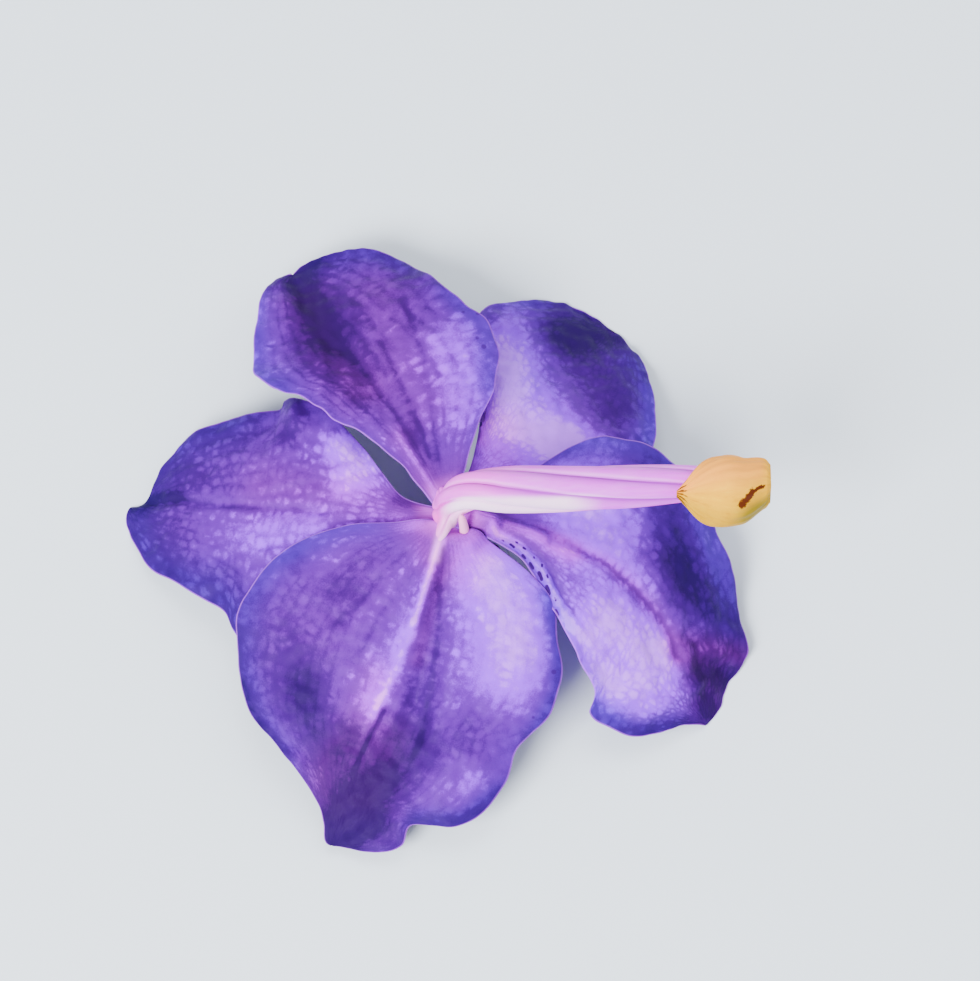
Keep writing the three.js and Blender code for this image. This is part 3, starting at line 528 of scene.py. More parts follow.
def length(name, description, millimetres):
    """A length to set."""
    return FloatProperty(
        name=name, description=description, unit="LENGTH", min=0, default=millimetres * MM, precision=5
    )


class OrchidShape(bpy.types.PropertyGroup):
    """Sizes of the flower's blades"""

    midrib_thickness: length("Blade at midrib", "How thick sepals and petals are along the midrib", 0.62)
    margin_thickness: length("Blade at margin", "How thick sepals and petals are at the margin", 0.26)
    margin_wave: length("Margin wave", "How far the margin's small waves reach", 0.16)
    pucker: length("Pucker", "How far the blade swells between its veins", 0.16)


class OrchidColours(bpy.types.PropertyGroup):
    """Colours of the flower"""

    palest: colour("Palest lilac", "In the windows between the veins", rgb(184, 100, 255))
    lilac: colour("Lilac", "Where the blade is lit through", rgb(148, 30, 250))
    violet: colour("Violet", "The blade's middle tone", rgb(90, 18, 152))
    deep: colour("Deep violet", "Towards tips and margins", rgb(57, 5, 106))
    # Where the tone strokes reach this darkest violet in the creases at the tips, it is partly painted shade.
    darkest: colour("Darkest violet", "In the creases at the tips", rgb(33, 3, 74))
    blue: colour("Blue-violet", "Towards the margins", rgb(66, 19, 150))
    pink: colour("Magenta-violet", "Towards the claws and in the folds", rgb(106, 24, 146))
    stalk: colour("Stalk", "Sides of the stalk and ovary", rgb(232, 38, 247))
    # This pale colour also serves as painted light along the stalk's lower side.
    stalk_pale_and_lit: colour("Stalk, pale", "The stalk's lower side", rgb(255, 214, 252))
    bract: colour("Bract", "The scale at the stalk's foot", rgb(234, 168, 2))
    lip: colour("Lip", "The lip's mid lobe", rgb(62, 8, 112))
    column: colour("Column", "The column's sides", rgb(250, 196, 252))
    cap: colour("Anther cap", "The cap on the column's end", rgb(255, 250, 176))
    pollinia: colour("Pollinia", "The waxy grains under the cap", rgb(240, 172, 20))


class OrchidStage(bpy.types.PropertyGroup):
    """Floor, light and camera"""

    floor: colour("Floor", "The surface that the flower lies on", (0.72, 0.8, 0.88))
    distance: length("Camera distance", "From the camera to the flower's heart", 700)
    elevation: FloatProperty(
        name="Camera elevation", description="Above the horizon", subtype="ANGLE", default=math.radians(70)
    )
    pixel: length("Picture scale", "What one pixel covers at the flower's heart", 0.13)


# ---------------------------------------------------------------- curves


def cubic(start, end, into, out, share):
    """Points at shares 0 to 1 of a curve that leaves start along into and reaches end along out."""
    return (
        start + into * share
        + (3 * (end - start) - 2 * into - out) * share**2
        + (2 * (start - end) + into + out) * share**3
    )


def stretches(stations, shares, straight_ends):
    """The four stations round each share of a spline, and how far along it lies between the middle two."""
    first = 2 * stations[0] - stations[1] if straight_ends else stations[0]
    last = 2 * stations[-1] - stations[-2] if straight_ends else stations[-1]
    padded = np.vstack([first, stations, last])
    place = np.clip(np.asarray(shares, float), 0, 1) * (len(stations) - 1)
    index = np.minimum(place.astype(int), len(stations) - 2)
    return [padded[index + i] for i in range(4)], (place - index)[:, None]


def smooth_through(stations, shares, straight_ends=False):
    """Points at shares 0 to 1 of an even spline through the stations, whose ends may run on straight."""
    (before, start, end, after), share = stretches(np.asarray(stations, float), shares, straight_ends)
    return cubic(start, end, 0.5 * (end - before), 0.5 * (after - start), share)


def even_walk(points, shares):
    """Points at shares of the length of a smooth line through flat points."""
    fine = smooth_through(points, np.linspace(0, 1, 801))
    run = np.concatenate([[0], np.cumsum(np.linalg.norm(np.diff(fine, axis=0), axis=1))])
    wanted = np.asarray(shares) * run[-1]
    return np.stack([np.interp(wanted, run, fine[:, axis]) for axis in range(2)], -1)


def between(numbers, shares):
    """Numbers at shares 0 to 1 of a smooth run through the numbers."""
    return smooth_through(np.asarray(numbers, float)[:, None], shares, straight_ends=True)[:, 0]


def stalk_centres(shares):
    """The stalk's centre line, a spline whose bends don't overshoot where its points lie close together."""
    (a, b, c, d), share = stretches(np.asarray(STALK_LINE, float), shares, straight_ends=True)
    pairs = ((a, b), (b, c), (c, d))
    before, here, after = (np.sqrt(np.linalg.norm(q - p, axis=1))[:, None] for p, q in pairs)
    into = ((b - a) / before - (c - a) / (before + here) + (c - b) / here) * here
    out = ((c - b) / here - (d - b) / (here + after) + (d - c) / after) * here
    return cubic(b, c, into, out, share)


def apart(turned, heading):
    """Degrees between angles in radians and a heading in degrees."""
    return np.abs((np.degrees(turned) - heading + 180) % 360 - 180)


def step(low, high, value):
    """Rises smoothly from 0 at low to 1 at high."""
    share = np.clip((value - low) / (high - low), 0, 1)
    return share * share * (3 - 2 * share)


def bell(distance, width, power=2):
    """1 at no distance, falling away smoothly on both sides, with steeper sides for a higher power."""
    return np.exp(-((distance / width) ** power))


def rounding(share, start, least):
    """1 up to start, then down to the root of least at 1, as the end of a round body."""
    return np.sqrt(np.clip(1 - np.clip((share - start) / (1 - start), 0, 1) ** 2, least, 1))


def together(*parts):
    """Arrays and numbers as the last axis of one array."""
    return np.stack(np.broadcast_arrays(*parts), -1)


def full_turn(sides):
    """The angles of a ring's points."""
    return np.linspace(0, math.tau, sides, endpoint=False)[None]


def waves(x, y, seed, count, finest):
    """Soft, even, repeatable unrest of about -1 to 1, from count waves no shorter than finest."""
    draw = np.random.default_rng(seed)
    total = np.zeros(np.broadcast(x, y).shape)
    for _ in range(count):
        angle = draw.uniform(0, math.tau)
        reach = finest * draw.uniform(1, 2.4)
        phase = draw.uniform(0, math.tau)
        total += np.sin(math.tau * (x * math.cos(angle) + y * math.sin(angle)) / reach + phase)
    return total / math.sqrt(count)


def from_heart(x, y, z, heading):
    """Points given along, across and up from the heart, for a piece that heads out at heading degrees."""
    turn = math.radians(heading)
    return HEART + together(
        x * math.cos(turn) - y * math.sin(turn),
        x * math.sin(turn) + y * math.cos(turn),
        z,
    )


def on_lip(x, y, z):
    """Points given along, across and up from the heart, in the lip's own direction."""
    return from_heart(x, y, z, LIP["heading"])


def droop(blade, out):
    """How far a blade's midrib has gone out and down after out mm along it, and its slope there."""
    longest = max(float(np.max(out)), 1) + 1
    run = np.linspace(min(float(np.min(out)), 0) - 1, longest, 1200)
    share = np.clip(run / blade["length"], 0, 1)
    slope = np.radians(blade["slope_at_claw"] + (blade["slope_at_tip"] - blade["slope_at_claw"]) * share)
    gap = np.diff(run)
    reach = np.concatenate([[0], np.cumsum((np.cos(slope[1:]) + np.cos(slope[:-1])) / 2 * gap)])
    fall = np.concatenate([[0], np.cumsum((np.sin(slope[1:]) + np.sin(slope[:-1])) / 2 * gap)])
    reach -= np.interp(0, run, reach)
    fall -= np.interp(0, run, fall)
    return np.interp(out, run, reach), np.interp(out, run, fall), np.interp(out, run, slope)


def bent(blade, out, across, raised):
    """Where [out, across] of a blade's flat pattern lies once it is bent, raised above its middle surface."""
    reach, fall, slope = droop(blade, out)
    lowered = blade["fold"] * np.abs(across) + blade["cup"] * across**2 - raised
    x = blade["start"] + reach - np.sin(slope) * lowered
    z = blade["level"] - fall - np.cos(slope) * lowered
    return from_heart(x, across, z, blade["heading"])


def distance_to(line, out, across):
    """Distance of flat points to a line through flat points."""
    best = np.full(out.shape, np.inf)
    for (x0, y0), (x1, y1) in zip(line, line[1:]):
        dx, dy = x1 - x0, y1 - y0
        share = np.clip(((out - x0) * dx + (across - y0) * dy) / max(dx * dx + dy * dy, 1e-9), 0, 1)
        best = np.minimum(best, np.hypot(out - x0 - share * dx, across - y0 - share * dy))
    return best


# ---------------------------------------------------------------- meshes
#
# A part is its points in millimetres, its faces, and its named values, one for each point.


def sheet(upper, under, values):
    """A closed sheet between two grids of points, with the same values on both sides."""
    rows, columns = upper.shape[:2]
    points = np.concatenate([upper.reshape(-1, 3), under.reshape(-1, 3)])
    doubled = {}
    for key, data in values.items():
        flat = data.reshape(rows * columns, *data.shape[2:])
        doubled[key] = np.concatenate([flat, flat])
    return points, sheet_faces(rows, columns), doubled


def sheet_faces(rows, columns):
    """Quads of a closed sheet: a grid, the same grid under it, and the rim between them."""
    index = np.arange(rows * columns).reshape(rows, columns)
    corners = (index[:-1, :-1], index[:-1, 1:], index[1:, :-1], index[1:, 1:])
    a, b, c, d = (corner.ravel() for corner in corners)
    under = rows * columns
    top = np.stack([a, c, d, b], 1)
    bottom = np.stack([a, b, d, c], 1) + under
    rim = np.concatenate([index[0], index[1:, -1], index[-1, -2::-1], index[-2:0:-1, 0]])
    after = np.roll(rim, -1)
    side = np.stack([rim, after, after + under, rim + under], 1)
    return np.concatenate([top, bottom, side]).tolist()


def tube(rings, values):
    """A tube through an array of rings x sides points, closed by a fan over each end."""
    count, sides = rings.shape[:2]
    points = np.vstack([rings.reshape(-1, 3), rings[0].mean(0), rings[-1].mean(0)])
    spread = {}
    for key, data in values.items():
        data = np.broadcast_to(data, (count, sides, *data.shape[2:]))
        flat = data.reshape(count * sides, *data.shape[2:])
        spread[key] = np.concatenate([flat, data[0].mean(0)[None], data[-1].mean(0)[None]])
    return points, tube_faces(count, sides), spread


def tube_faces(rings, sides):
    """Quads round a tube and a fan over each end."""
    index = np.arange(rings * sides).reshape(rings, sides)
    after = np.roll(index, -1, axis=1)
    faces = np.stack([index[:-1], after[:-1], after[1:], index[1:]], -1).reshape(-1, 4).tolist()
    first, last = rings * sides, rings * sides + 1
    faces += [[first, b, a] for a, b in zip(index[0].tolist(), after[0].tolist())]
    faces += [[last, a, b] for a, b in zip(index[-1].tolist(), after[-1].tolist())]
    return faces


def joined(*parts):
    """Several parts as one."""
    all_points, faces, values = [], [], {key: [] for key in parts[0][2]}
    start = 0
    for points, own_faces, own_values in parts:
        all_points.append(points)
        faces += [[start + corner for corner in face] for face in own_faces]
        for key in values:
            values[key].append(own_values[key])
        start += len(points)
    return np.concatenate(all_points), faces, {key: np.concatenate(data) for key, data in values.items()}


def add_mesh(name, part, material):
    """A smooth mesh object from a part."""
    points, faces, values = part
    mesh = bpy.data.meshes.new(name)
    mesh.from_pydata((points * MM).tolist(), [], faces)
    mesh.validate()
    for key, data in values.items():
        data = data.astype(np.float32)
        vector = data.ndim == 2
        layer = mesh.attributes.new(key, "FLOAT_VECTOR" if vector else "FLOAT", "POINT")
        layer.data.foreach_set("vector" if vector else "value", data.ravel())
    mesh.shade_smooth()
    mesh.materials.append(material)
    mesh.update()
    piece = bpy.data.objects.new(name, mesh)
    bpy.context.scene.collection.objects.link(piece)
    return piece


# ---------------------------------------------------------------- finishes


class Finish:
    """A material and short ways to add its nodes."""

    def __init__(self, name, roughness, subsurface=0.0, specular=0.5, coat=0.0, gloss=(1, 1, 1)):
        self.material = bpy.data.materials.new(name)
        self.material.use_nodes = True
        self.nodes = self.material.node_tree.nodes
        self.links = self.material.node_tree.links
        self.shader = self.nodes["Principled BSDF"]
        for key, value in {
            "Roughness": roughness,
            "Subsurface Weight": subsurface,
            "Subsurface Radius": (1.0, 0.6, 1.2),
            "Subsurface Scale": 0.5 * MM,
            "Specular IOR Level": specular,
            "Specular Tint": (*gloss, 1),
            "Coat Weight": coat,
            "Coat Roughness": 0.3,
        }.items():
            self.give(self.shader.inputs[key], value)

    def give(self, socket, value):
        """Links a socket to another node's output, or sets it to a plain value."""
        if isinstance(value, bpy.types.NodeSocket):
            self.links.new(value, socket)
        else:
            socket.default_value = value

    def node(self, kind, inputs, **settings):
        """Adds a node with its settings and inputs."""
        node = self.nodes.new("ShaderNode" + kind)
        for key, value in settings.items():
            setattr(node, key, value)
        for key, value in inputs.items():
            self.give(node.inputs[key], value)
        return node

    def read(self, name, vector=False):
        """One of the mesh's named values."""
        return self.node("Attribute", {}, attribute_name=name).outputs["Vector" if vector else "Fac"]

    def math(self, operation, *values, clamp=False):
        return self.node("Math", dict(enumerate(values)), operation=operation, use_clamp=clamp).outputs[0]

    def times(self, first, second):
        return self.math("MULTIPLY", first, second)

    def times_plus(self, first, second, third, clamp=False):
        return self.math("MULTIPLY_ADD", first, second, third, clamp=clamp)

    def span(self, value, low, high, start=0.0, end=1.0):
        """Takes low to high smoothly to start to end."""
        inputs = {"Value": value, "From Min": low, "From Max": high, "To Min": start, "To Max": end}
        return self.node("MapRange", inputs, interpolation_type="SMOOTHSTEP").outputs["Result"]

    def mix(self, share, first, second):
        """From the first colour to the second by share."""
        node = self.node("Mix", {"Factor": share}, data_type="RGBA")
        for socket, value in zip([s for s in node.inputs if s.type == "RGBA"], (first, second)):
            self.give(socket, (*value, 1) if isinstance(value, tuple) else value)
        return [s for s in node.outputs if s.type == "RGBA"][0]

    def ramp(self, value, stops):
        """Colours that change smoothly with a value, from stops of a place and a colour."""
        node = self.node("ValToRGB", {"Fac": value})
        node.color_ramp.interpolation = "EASE"
        elements = node.color_ramp.elements
        while len(elements) < len(stops):
            elements.new(0.5)
        for element, (place, shade) in zip(elements, stops):
            element.position = place
            element.color = (*shade, 1)
        return node.outputs["Color"]

    def noise(self, vector, scale, detail, roughness, colour=False):
        inputs = {"Vector": vector, "Scale": scale, "Detail": detail, "Roughness": roughness}
        return self.node("TexNoise", inputs).outputs["Color" if colour else "Fac"]

    def cells(self, vector, scale, randomness, feature="F1", output="Distance"):
        """The distance, or another output, of a pattern of cells."""
        inputs = {"Vector": vector, "Scale": scale, "Randomness": randomness}
        return self.node("TexVoronoi", inputs, feature=feature).outputs[output]

    def cell_draw(self, vector, scale, randomness):
        """A random number for each cell."""
        drawn = self.cells(vector, scale, randomness, output="Color")
        return self.node("SeparateColor", {"Color": drawn}).outputs["Red"]

    def move(self, vector, by, amount):
        """A vector shifted by a colour's unrest."""
        centred = self.node("VectorMath", {0: by, 1: (0.5, 0.5, 0.5)}, operation="SUBTRACT").outputs[0]
        inputs = {0: centred, 1: (amount, amount, 0), 2: vector}
        return self.node("VectorMath", inputs, operation="MULTIPLY_ADD").outputs[0]

    def bump(self, height, distance):
        """Fine relief, distance in millimetres."""
        node = self.node("Bump", {"Strength": 1.0, "Distance": distance * MM, "Height": height})
        self.give(self.shader.inputs["Normal"], node.outputs["Normal"])

    def paint(self, value):
        """Sets the base colour and gives the finished material."""
        self.give(self.shader.inputs["Base Color"], value)
        return self.material


def toward(shade, other, share):
    """The first colour moved by share towards the other."""
    return tuple((1 - share) * a + share * b for a, b in zip(shade, other))


def tepal_finish(colours):
    """Sepals and petals: a net of veins round pale windows, in tones that the blade's own values set."""
    skin = Finish("Petal skin", roughness=0.55, subsurface=0.1, specular=0.14, gloss=(0.6, 0.4, 1))
    flat = skin.read("flat", vector=True)
    fan = skin.read("fan", vector=True)
    grain = skin.noise(flat, 5, 3, 0.8)
    bend = skin.noise(flat, 0.3, 2, 0.55, colour=True)
    window_light, shown = tepal_net(skin, flat, fan, bend)
    total = tepal_tone(skin, flat, fan, bend, grain, shown)

    places = (0.0, 0.26, 0.52, 0.76, 1.0)
    violets = (colours.palest, colours.lilac, colours.violet, colours.deep, colours.darkest)
    blues = (rgb(162, 98, 255), rgb(99, 36, 214), colours.blue, rgb(46, 6, 104), rgb(24, 3, 72))
    pinks = (rgb(246, 118, 255), rgb(174, 26, 230), colours.pink, rgb(62, 6, 94), rgb(38, 3, 70))
    violet, blue, pink = (
        skin.ramp(total, [(place, tuple(shade)) for place, shade in zip(places, shades)])
        for shades in (violets, blues, pinks)
    )
    shade = skin.mix(skin.read("blue"), violet, blue)
    shade = skin.mix(skin.read("pink"), shade, pink)
    shade = skin.mix(skin.read("claw"), shade, rgb(206, 66, 226))
    shade = skin.mix(skin.read("white"), shade, rgb(250, 150, 250))
    shade = skin.mix(tepal_dots(skin, flat), shade, rgb(50, 5, 92))
    # Painted rim light: the margins turn pale lilac, standing in for thin edges that catch the light.
    rim = skin.times(skin.span(skin.read("edge"), 0.24, 0.04), 0.5)
    shade = skin.mix(rim, shade, rgb(191, 86, 255))

    skin.bump(skin.times_plus(window_light, 0.6, skin.times(grain, 0.3)), 0.07)
    skin.give(skin.shader.inputs["Roughness"], skin.span(grain, 0.3, 0.7, 0.48, 0.64))
    return skin.paint(shade)


def tepal_net(skin, flat, fan, bend):
    """The windows between the net's veins: their own light, and how much of it shows."""
    fray = skin.noise(flat, 1.5, 2, 0.6, colour=True)
    net = skin.move(skin.move(fan, bend, 0.6), fray, 0.34)
    wall = skin.cells(net, 1, 0.7, "DISTANCE_TO_EDGE")
    blob = skin.span(skin.cells(net, 1, 0.7), 0.9, 0.15)
    lit = skin.times(blob, skin.times_plus(skin.cell_draw(net, 1, 0.7), 0.36, 0.6))
    window = skin.span(wall, 0.0, 0.32)
    patchy = skin.span(skin.noise(flat, 0.15, 3, 0.6), 0.3, 0.66, 0.6, 1.0)
    return lit, skin.times(skin.times(lit, window), skin.times(patchy, skin.read("net")))


def tepal_tone(skin, flat, fan, bend, grain, shown):
    """The blade's tone, from 0 for its palest colour to 1 for its darkest."""
    course = skin.node("SeparateXYZ", {0: skin.move(fan, bend, 0.8)})
    aside = skin.math("ABSOLUTE", skin.math("SUBTRACT", skin.math("FRACT", course.outputs["Y"]), 0.5))
    faint = skin.span(skin.noise(flat, 0.2, 2, 0.5), 0.3, 0.65, 0.4, 1.0)
    vein = skin.times(skin.times(skin.span(aside, 0.2, 0.5), faint), skin.read("vein"))

    cloud = skin.noise(flat, 0.24, 4, 0.62)
    mottle = skin.noise(flat, 1.5, 2, 0.6)
    blotch = skin.span(skin.noise(flat, 0.75, 3, 0.7), 0.44, 0.68)
    total = skin.times_plus(shown, -0.2, skin.read("tone"))
    total = skin.times_plus(skin.times(blotch, skin.read("blotch")), -0.1, total)
    total = skin.math("ADD", total, vein)
    for noise, reach in ((cloud, 0.13), (mottle, 0.14), (grain, 0.24)):
        total = skin.math("ADD", total, skin.times_plus(noise, reach, -reach / 2))
    return skin.times_plus(skin.read("front"), 0.1, total, clamp=True)


def tepal_dots(skin, flat):
    """Small scattered dots where the spots show, and the ink's own blots."""
    size = skin.times(skin.read("spots"), skin.span(skin.cell_draw(flat, 0.62, 1), 0.3, 0.85, 0.0, 0.26))
    inside = skin.math("SUBTRACT", size, skin.cells(flat, 0.62, 1))
    dot = skin.times(skin.span(inside, -0.04, 0.08), 0.7)
    ragged = skin.span(skin.noise(flat, 1.8, 2, 0.6), 0.25, 0.65, 0.6, 1.15)
    return skin.math("MAXIMUM", dot, skin.span(skin.times(skin.read("ink"), ragged), 0.28, 0.62))


def stalk_finish(colours):
    """The stalk: pink-lilac, with painted light along its lower side and on its rib crests, and painted shade
    in its grooves.
    """
    skin = Finish("Stalk skin", roughness=0.42, subsurface=0.2, specular=0.3, gloss=(1, 0.85, 1))
    flat = skin.read("flat", vector=True)
    streak = skin.noise(flat, 1.2, 3, 0.6)
    grain = skin.noise(flat, 14, 2, 0.6)
    # Painted light along the lower side and on the rib crests, together with the pale rib and foot.
    pale = skin.math("ADD", skin.read("pale"), skin.times_plus(streak, 0.4, -0.2), clamp=True)
    shade = skin.mix(pale, tuple(colours.stalk), tuple(colours.stalk_pale_and_lit))
    # Painted shade in and below the grooves.
    shade = skin.mix(skin.read("painted_groove_shade"), shade, rgb(176, 14, 200))
    shade = skin.mix(skin.read("blush"), shade, rgb(250, 72, 200))
    shade = skin.mix(skin.read("cut"), shade, rgb(214, 226, 150))
    shade = skin.mix(skin.times(grain, 0.12), shade, rgb(190, 70, 230))
    skin.bump(skin.times_plus(streak, 0.5, skin.times(grain, 0.4)), 0.05)
    return skin.paint(shade)


def bract_finish(colours):
    """The bract: yellow and papery, with fine lengthwise veins, painted dark yellow-green shade near its foot
    and along its lower side, and browned spots.
    """
    skin = Finish("Bract skin", roughness=0.5, subsurface=0.05, specular=0.1, gloss=(1, 0.8, 0.3))
    place = skin.read("place", vector=True)
    vein = skin.noise(skin.read("flat", vector=True), 1.0, 4, 0.6)
    cloud = skin.noise(place, 0.45, 3, 0.6)
    shade = skin.ramp(skin.times_plus(vein, 0.5, skin.times(cloud, 0.5)), [
        (0.25, rgb(196, 126, 2)), (0.5, tuple(colours.bract)), (0.75, rgb(248, 194, 30)),
    ])
    shade = skin.mix(skin.read("peach"), shade, rgb(255, 162, 62))
    # Painted shade: dark yellow-green where the bract wraps round the stalk near its foot and along its lower
    # side.
    shade = skin.mix(skin.read("painted_olive_shade"), shade, rgb(140, 116, 0))
    ragged = skin.noise(place, 1.9, 3, 0.65)
    burnt = skin.math("ADD", skin.read("brown"), skin.times_plus(ragged, 1.5, -0.78))
    shade = skin.mix(skin.span(burnt, 0.35, 0.75), shade, rgb(84, 34, 14))
    skin.bump(vein, 0.1)
    return skin.paint(shade)


def lip_finish(colours):
    """The lip: deep velvety violet, paler at its foot and along the keels' flanks."""
    skin = Finish("Lip skin", roughness=0.5, subsurface=0.1, specular=0.25, gloss=(0.8, 0.5, 1))
    flat = skin.read("flat", vector=True)
    cloud = skin.noise(flat, 0.7, 4, 0.6)
    grain = skin.noise(flat, 6, 3, 0.7)
    depth = skin.times_plus(cloud, 0.5, skin.times(grain, 0.3))
    shade = skin.ramp(depth, [(0.2, rgb(34, 5, 74)), (0.42, tuple(colours.lip)), (0.7, rgb(112, 26, 168))])
    shade = skin.mix(skin.read("pale"), shade, rgb(236, 150, 240))
    shade = skin.mix(skin.read("cream"), shade, rgb(255, 158, 218))
    skin.bump(depth, 0.12)
    return skin.paint(shade)


def wax_finish(name, base, shadow, roughness=0.38):
    """Column, cap and pollinia: waxy, with a soft tint that follows the piece's own value."""
    skin = Finish(name, roughness=roughness, subsurface=0.3, specular=0.5, coat=0.15)
    flat = skin.read("flat", vector=True)
    cloud = skin.noise(flat, 1.4, 3, 0.6)
    grain = skin.noise(flat, 9, 2, 0.6)
    shade = skin.mix(skin.times(cloud, 0.4), base, toward(base, shadow, 0.5))
    shade = skin.mix(skin.read("tint"), shade, shadow)
    shade = skin.mix(skin.times(grain, 0.16), shade, toward(base, (1, 1, 1), 0.5))
    skin.bump(skin.math("ADD", cloud, grain), 0.06)
    return skin.paint(shade)


# ---------------------------------------------------------------- sepals and petals


def keep_clear_of_spur(points):
    """Points near the spur move out to leave it a hole."""
    share = np.clip((points[..., 2] - HEART[2] - LIP["level"]) / SPUR["height"], 0, 1)
    middle = on_lip(spur_lean(share), 0, 0)[..., :2]
    above = points[..., 2] > HEART[2] + LIP["level"] + SPUR["height"] + SPUR["hole_rise"]
    radius = np.where(above, -1, spur_radius(share, SPUR["hole_thinning"]))
    away = points[..., :2] - middle
    distance = np.maximum(np.linalg.norm(away, axis=-1), 1e-6)
    wanted = np.maximum(distance, radius + SPUR["room"])
    moved = points.copy()
    moved[..., :2] = middle + away * (wanted / distance)[..., None]
    return moved


def spur_lean(share):
    """How far out from the heart the spur's middle stands at shares of its height."""
    return LIP["start"] + SPUR["radius"] - SPUR["lean"] * share - SPUR["curl"] * share**3


def spur_radius(share, thinning):
    """The spur's radius at shares of its height."""
    return SPUR["tip_radius"] + (SPUR["radius"] - SPUR["tip_radius"]) * (1 - share) ** 2 - thinning * share


def stroke_marks(name, out, across):
    """What the strokes of each kind add up to on a tepal."""
    marks = {}
    for kind in ("tone", "blue", "pink", "spots", "ink", "white", "relief", "fold"):
        marks[kind] = np.zeros(out.shape)
        for amount, width, line in STROKES[name].get(kind, []):
            marks[kind] += amount * bell(distance_to(line, out, across), width, 4 if kind == "fold" else 2)
    return marks


def margin_waves(t, s, seed, count, finest):
    """Unrest that runs along the blade, with a course of its own at each margin."""
    return waves(t * MARGIN_REACH, np.sign(s) * MARGINS_APART, seed, count, finest)


def blade_unrest(own, shape, seed, t, s, out, across):
    """How far a blade's surface rises with its ruffles, long waves, puckers and margin waves."""
    share = np.abs(s)
    ruffle = np.where(s < 0, own["ruffle_right"], own["ruffle_left"]) * np.sin(math.pi * t) * share**3
    raised = ruffle * np.sin(math.tau * own["waves"] * t)
    raised += waves(out, across, seed + 1, 16, 5.5) * LONG_WAVES * step(0.05, 0.4, t)
    raised += waves(out, across, seed + 2, 20, 1.7) * PUCKER_SHARE * shape.pucker / MM * step(0.05, 0.3, t)
    raised += margin_waves(t, s, seed + 3, 8, 4.5) * 0.3 * step(0.7, 1, share) * step(0.1, 0.35, t)
    return raised


def blade_tints(own, marks, t, share, width):
    """What the skin reads: darker towards the tip and margins, bluer at the margins, pinker at the claw."""
    come_in = step(0.02, own["smooth_to"], t)
    tints = {
        "tone": 0.52 + 0.08 * step(0.2, 1, t) + 0.08 * step(0.7, 1, share) + marks["tone"],
        "blue": 0.3 * step(0.72, 1, share) + marks["blue"],
        "pink": 0.8 * step(0.16, 0, t) + marks["pink"],
        "claw": 0.8 * step(0.07, 0, t) * step(1, 0.5, share),
        "spots": marks["spots"],
        "ink": marks["ink"],
        "white": marks["white"],
        "blotch": come_in,
        "net": own["net"] * come_in,
        "vein": own["vein"] * step(3, 9, width) * step(0.98, 0.7, share),
    }
    return {key: np.clip(data, 0, 1.6) for key, data in tints.items()}


def add_tepal(name, shape, material, seed):
    """A sepal or petal: its flat pattern, with waved margins and its strokes, bent into shape."""
    own = TEPALS[name]
    along = np.linspace(0, 1, BLADE_ROWS) ** 0.98 * 0.997
    t, s = np.meshgrid(along, np.linspace(-1, 1, 2 * BLADE_HALF_COLUMNS + 1), indexing="ij")
    share = np.abs(s)
    midrib, left, right = (even_walk(own[line], along)[:, None] for line in ("midrib", "left", "right"))
    halves = np.where(s[..., None] < 0, right, left) - midrib
    width = np.linalg.norm(halves, axis=-1)
    wave = margin_waves(t, s, seed, 10, 3.2) * shape.margin_wave / MM
    spread = share * (1 + step(0.75, 1, share) * wave * step(0, 0.1, t) / np.maximum(width, 3))
    flat = midrib + halves * spread[..., None]
    out = flat[..., 0] - own["tuck"] * step(0.06, 0, t)
    across = flat[..., 1]

    marks = stroke_marks(name, out, across)
    raised = blade_unrest(own, shape, seed, t, s, out, across) + marks["relief"] + marks["fold"]
    edge = width * (1 - share)
    thick = shape.margin_thickness + (shape.midrib_thickness - shape.margin_thickness) * step(0, 5, edge)
    thick = thick / MM * (0.35 + 0.65 * np.sqrt(np.clip(edge / 0.5, 0, 1)))
    blade = dict(own, start=CLAW_RADIUS, level=SEPAL_LIFT if own["whorl"] == "sepal" else PETAL_LIFT)
    back = keep_clear_of_spur(bent(blade, out, across, raised + thick / 2))
    face = keep_clear_of_spur(bent(blade, out, across, raised - thick / 2))
    face[..., 2] = np.maximum(face[..., 2], FLOOR_GAP)
    back[..., 2] = np.maximum(back[..., 2], FLOOR_GAP + PRESSED_THICKNESS)

    values = blade_tints(own, marks, t, share, width)
    values["edge"] = edge
    values["flat"] = together(out, across, seed * NOISE_APART)
    values["fan"] = together(t * own["cells_out"], s * own["cells_across"], seed * NOISE_APART)
    points, faces, values = sheet(back, face, values)
    values["front"] = np.repeat([0.0, 1.0], t.size)
    piece = add_mesh("fine_" + name, (points, faces, values), material)
    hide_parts(name)
    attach(piece, "root")


class ORCHID_OT_tepals(bpy.types.Operator):
    """Adds the three sepals and the two petals"""

    bl_idname = "orchid.add_tepals"
    bl_label = "Sepals and petals"

    def execute(self, context):
        material = tepal_finish(context.scene.orchid_colours)
        for seed, name in enumerate(TEPALS, 3):
            add_tepal(name, context.scene.orchid_shape, material, seed)
        return {"FINISHED"}


# ---------------------------------------------------------------- stalk and bract


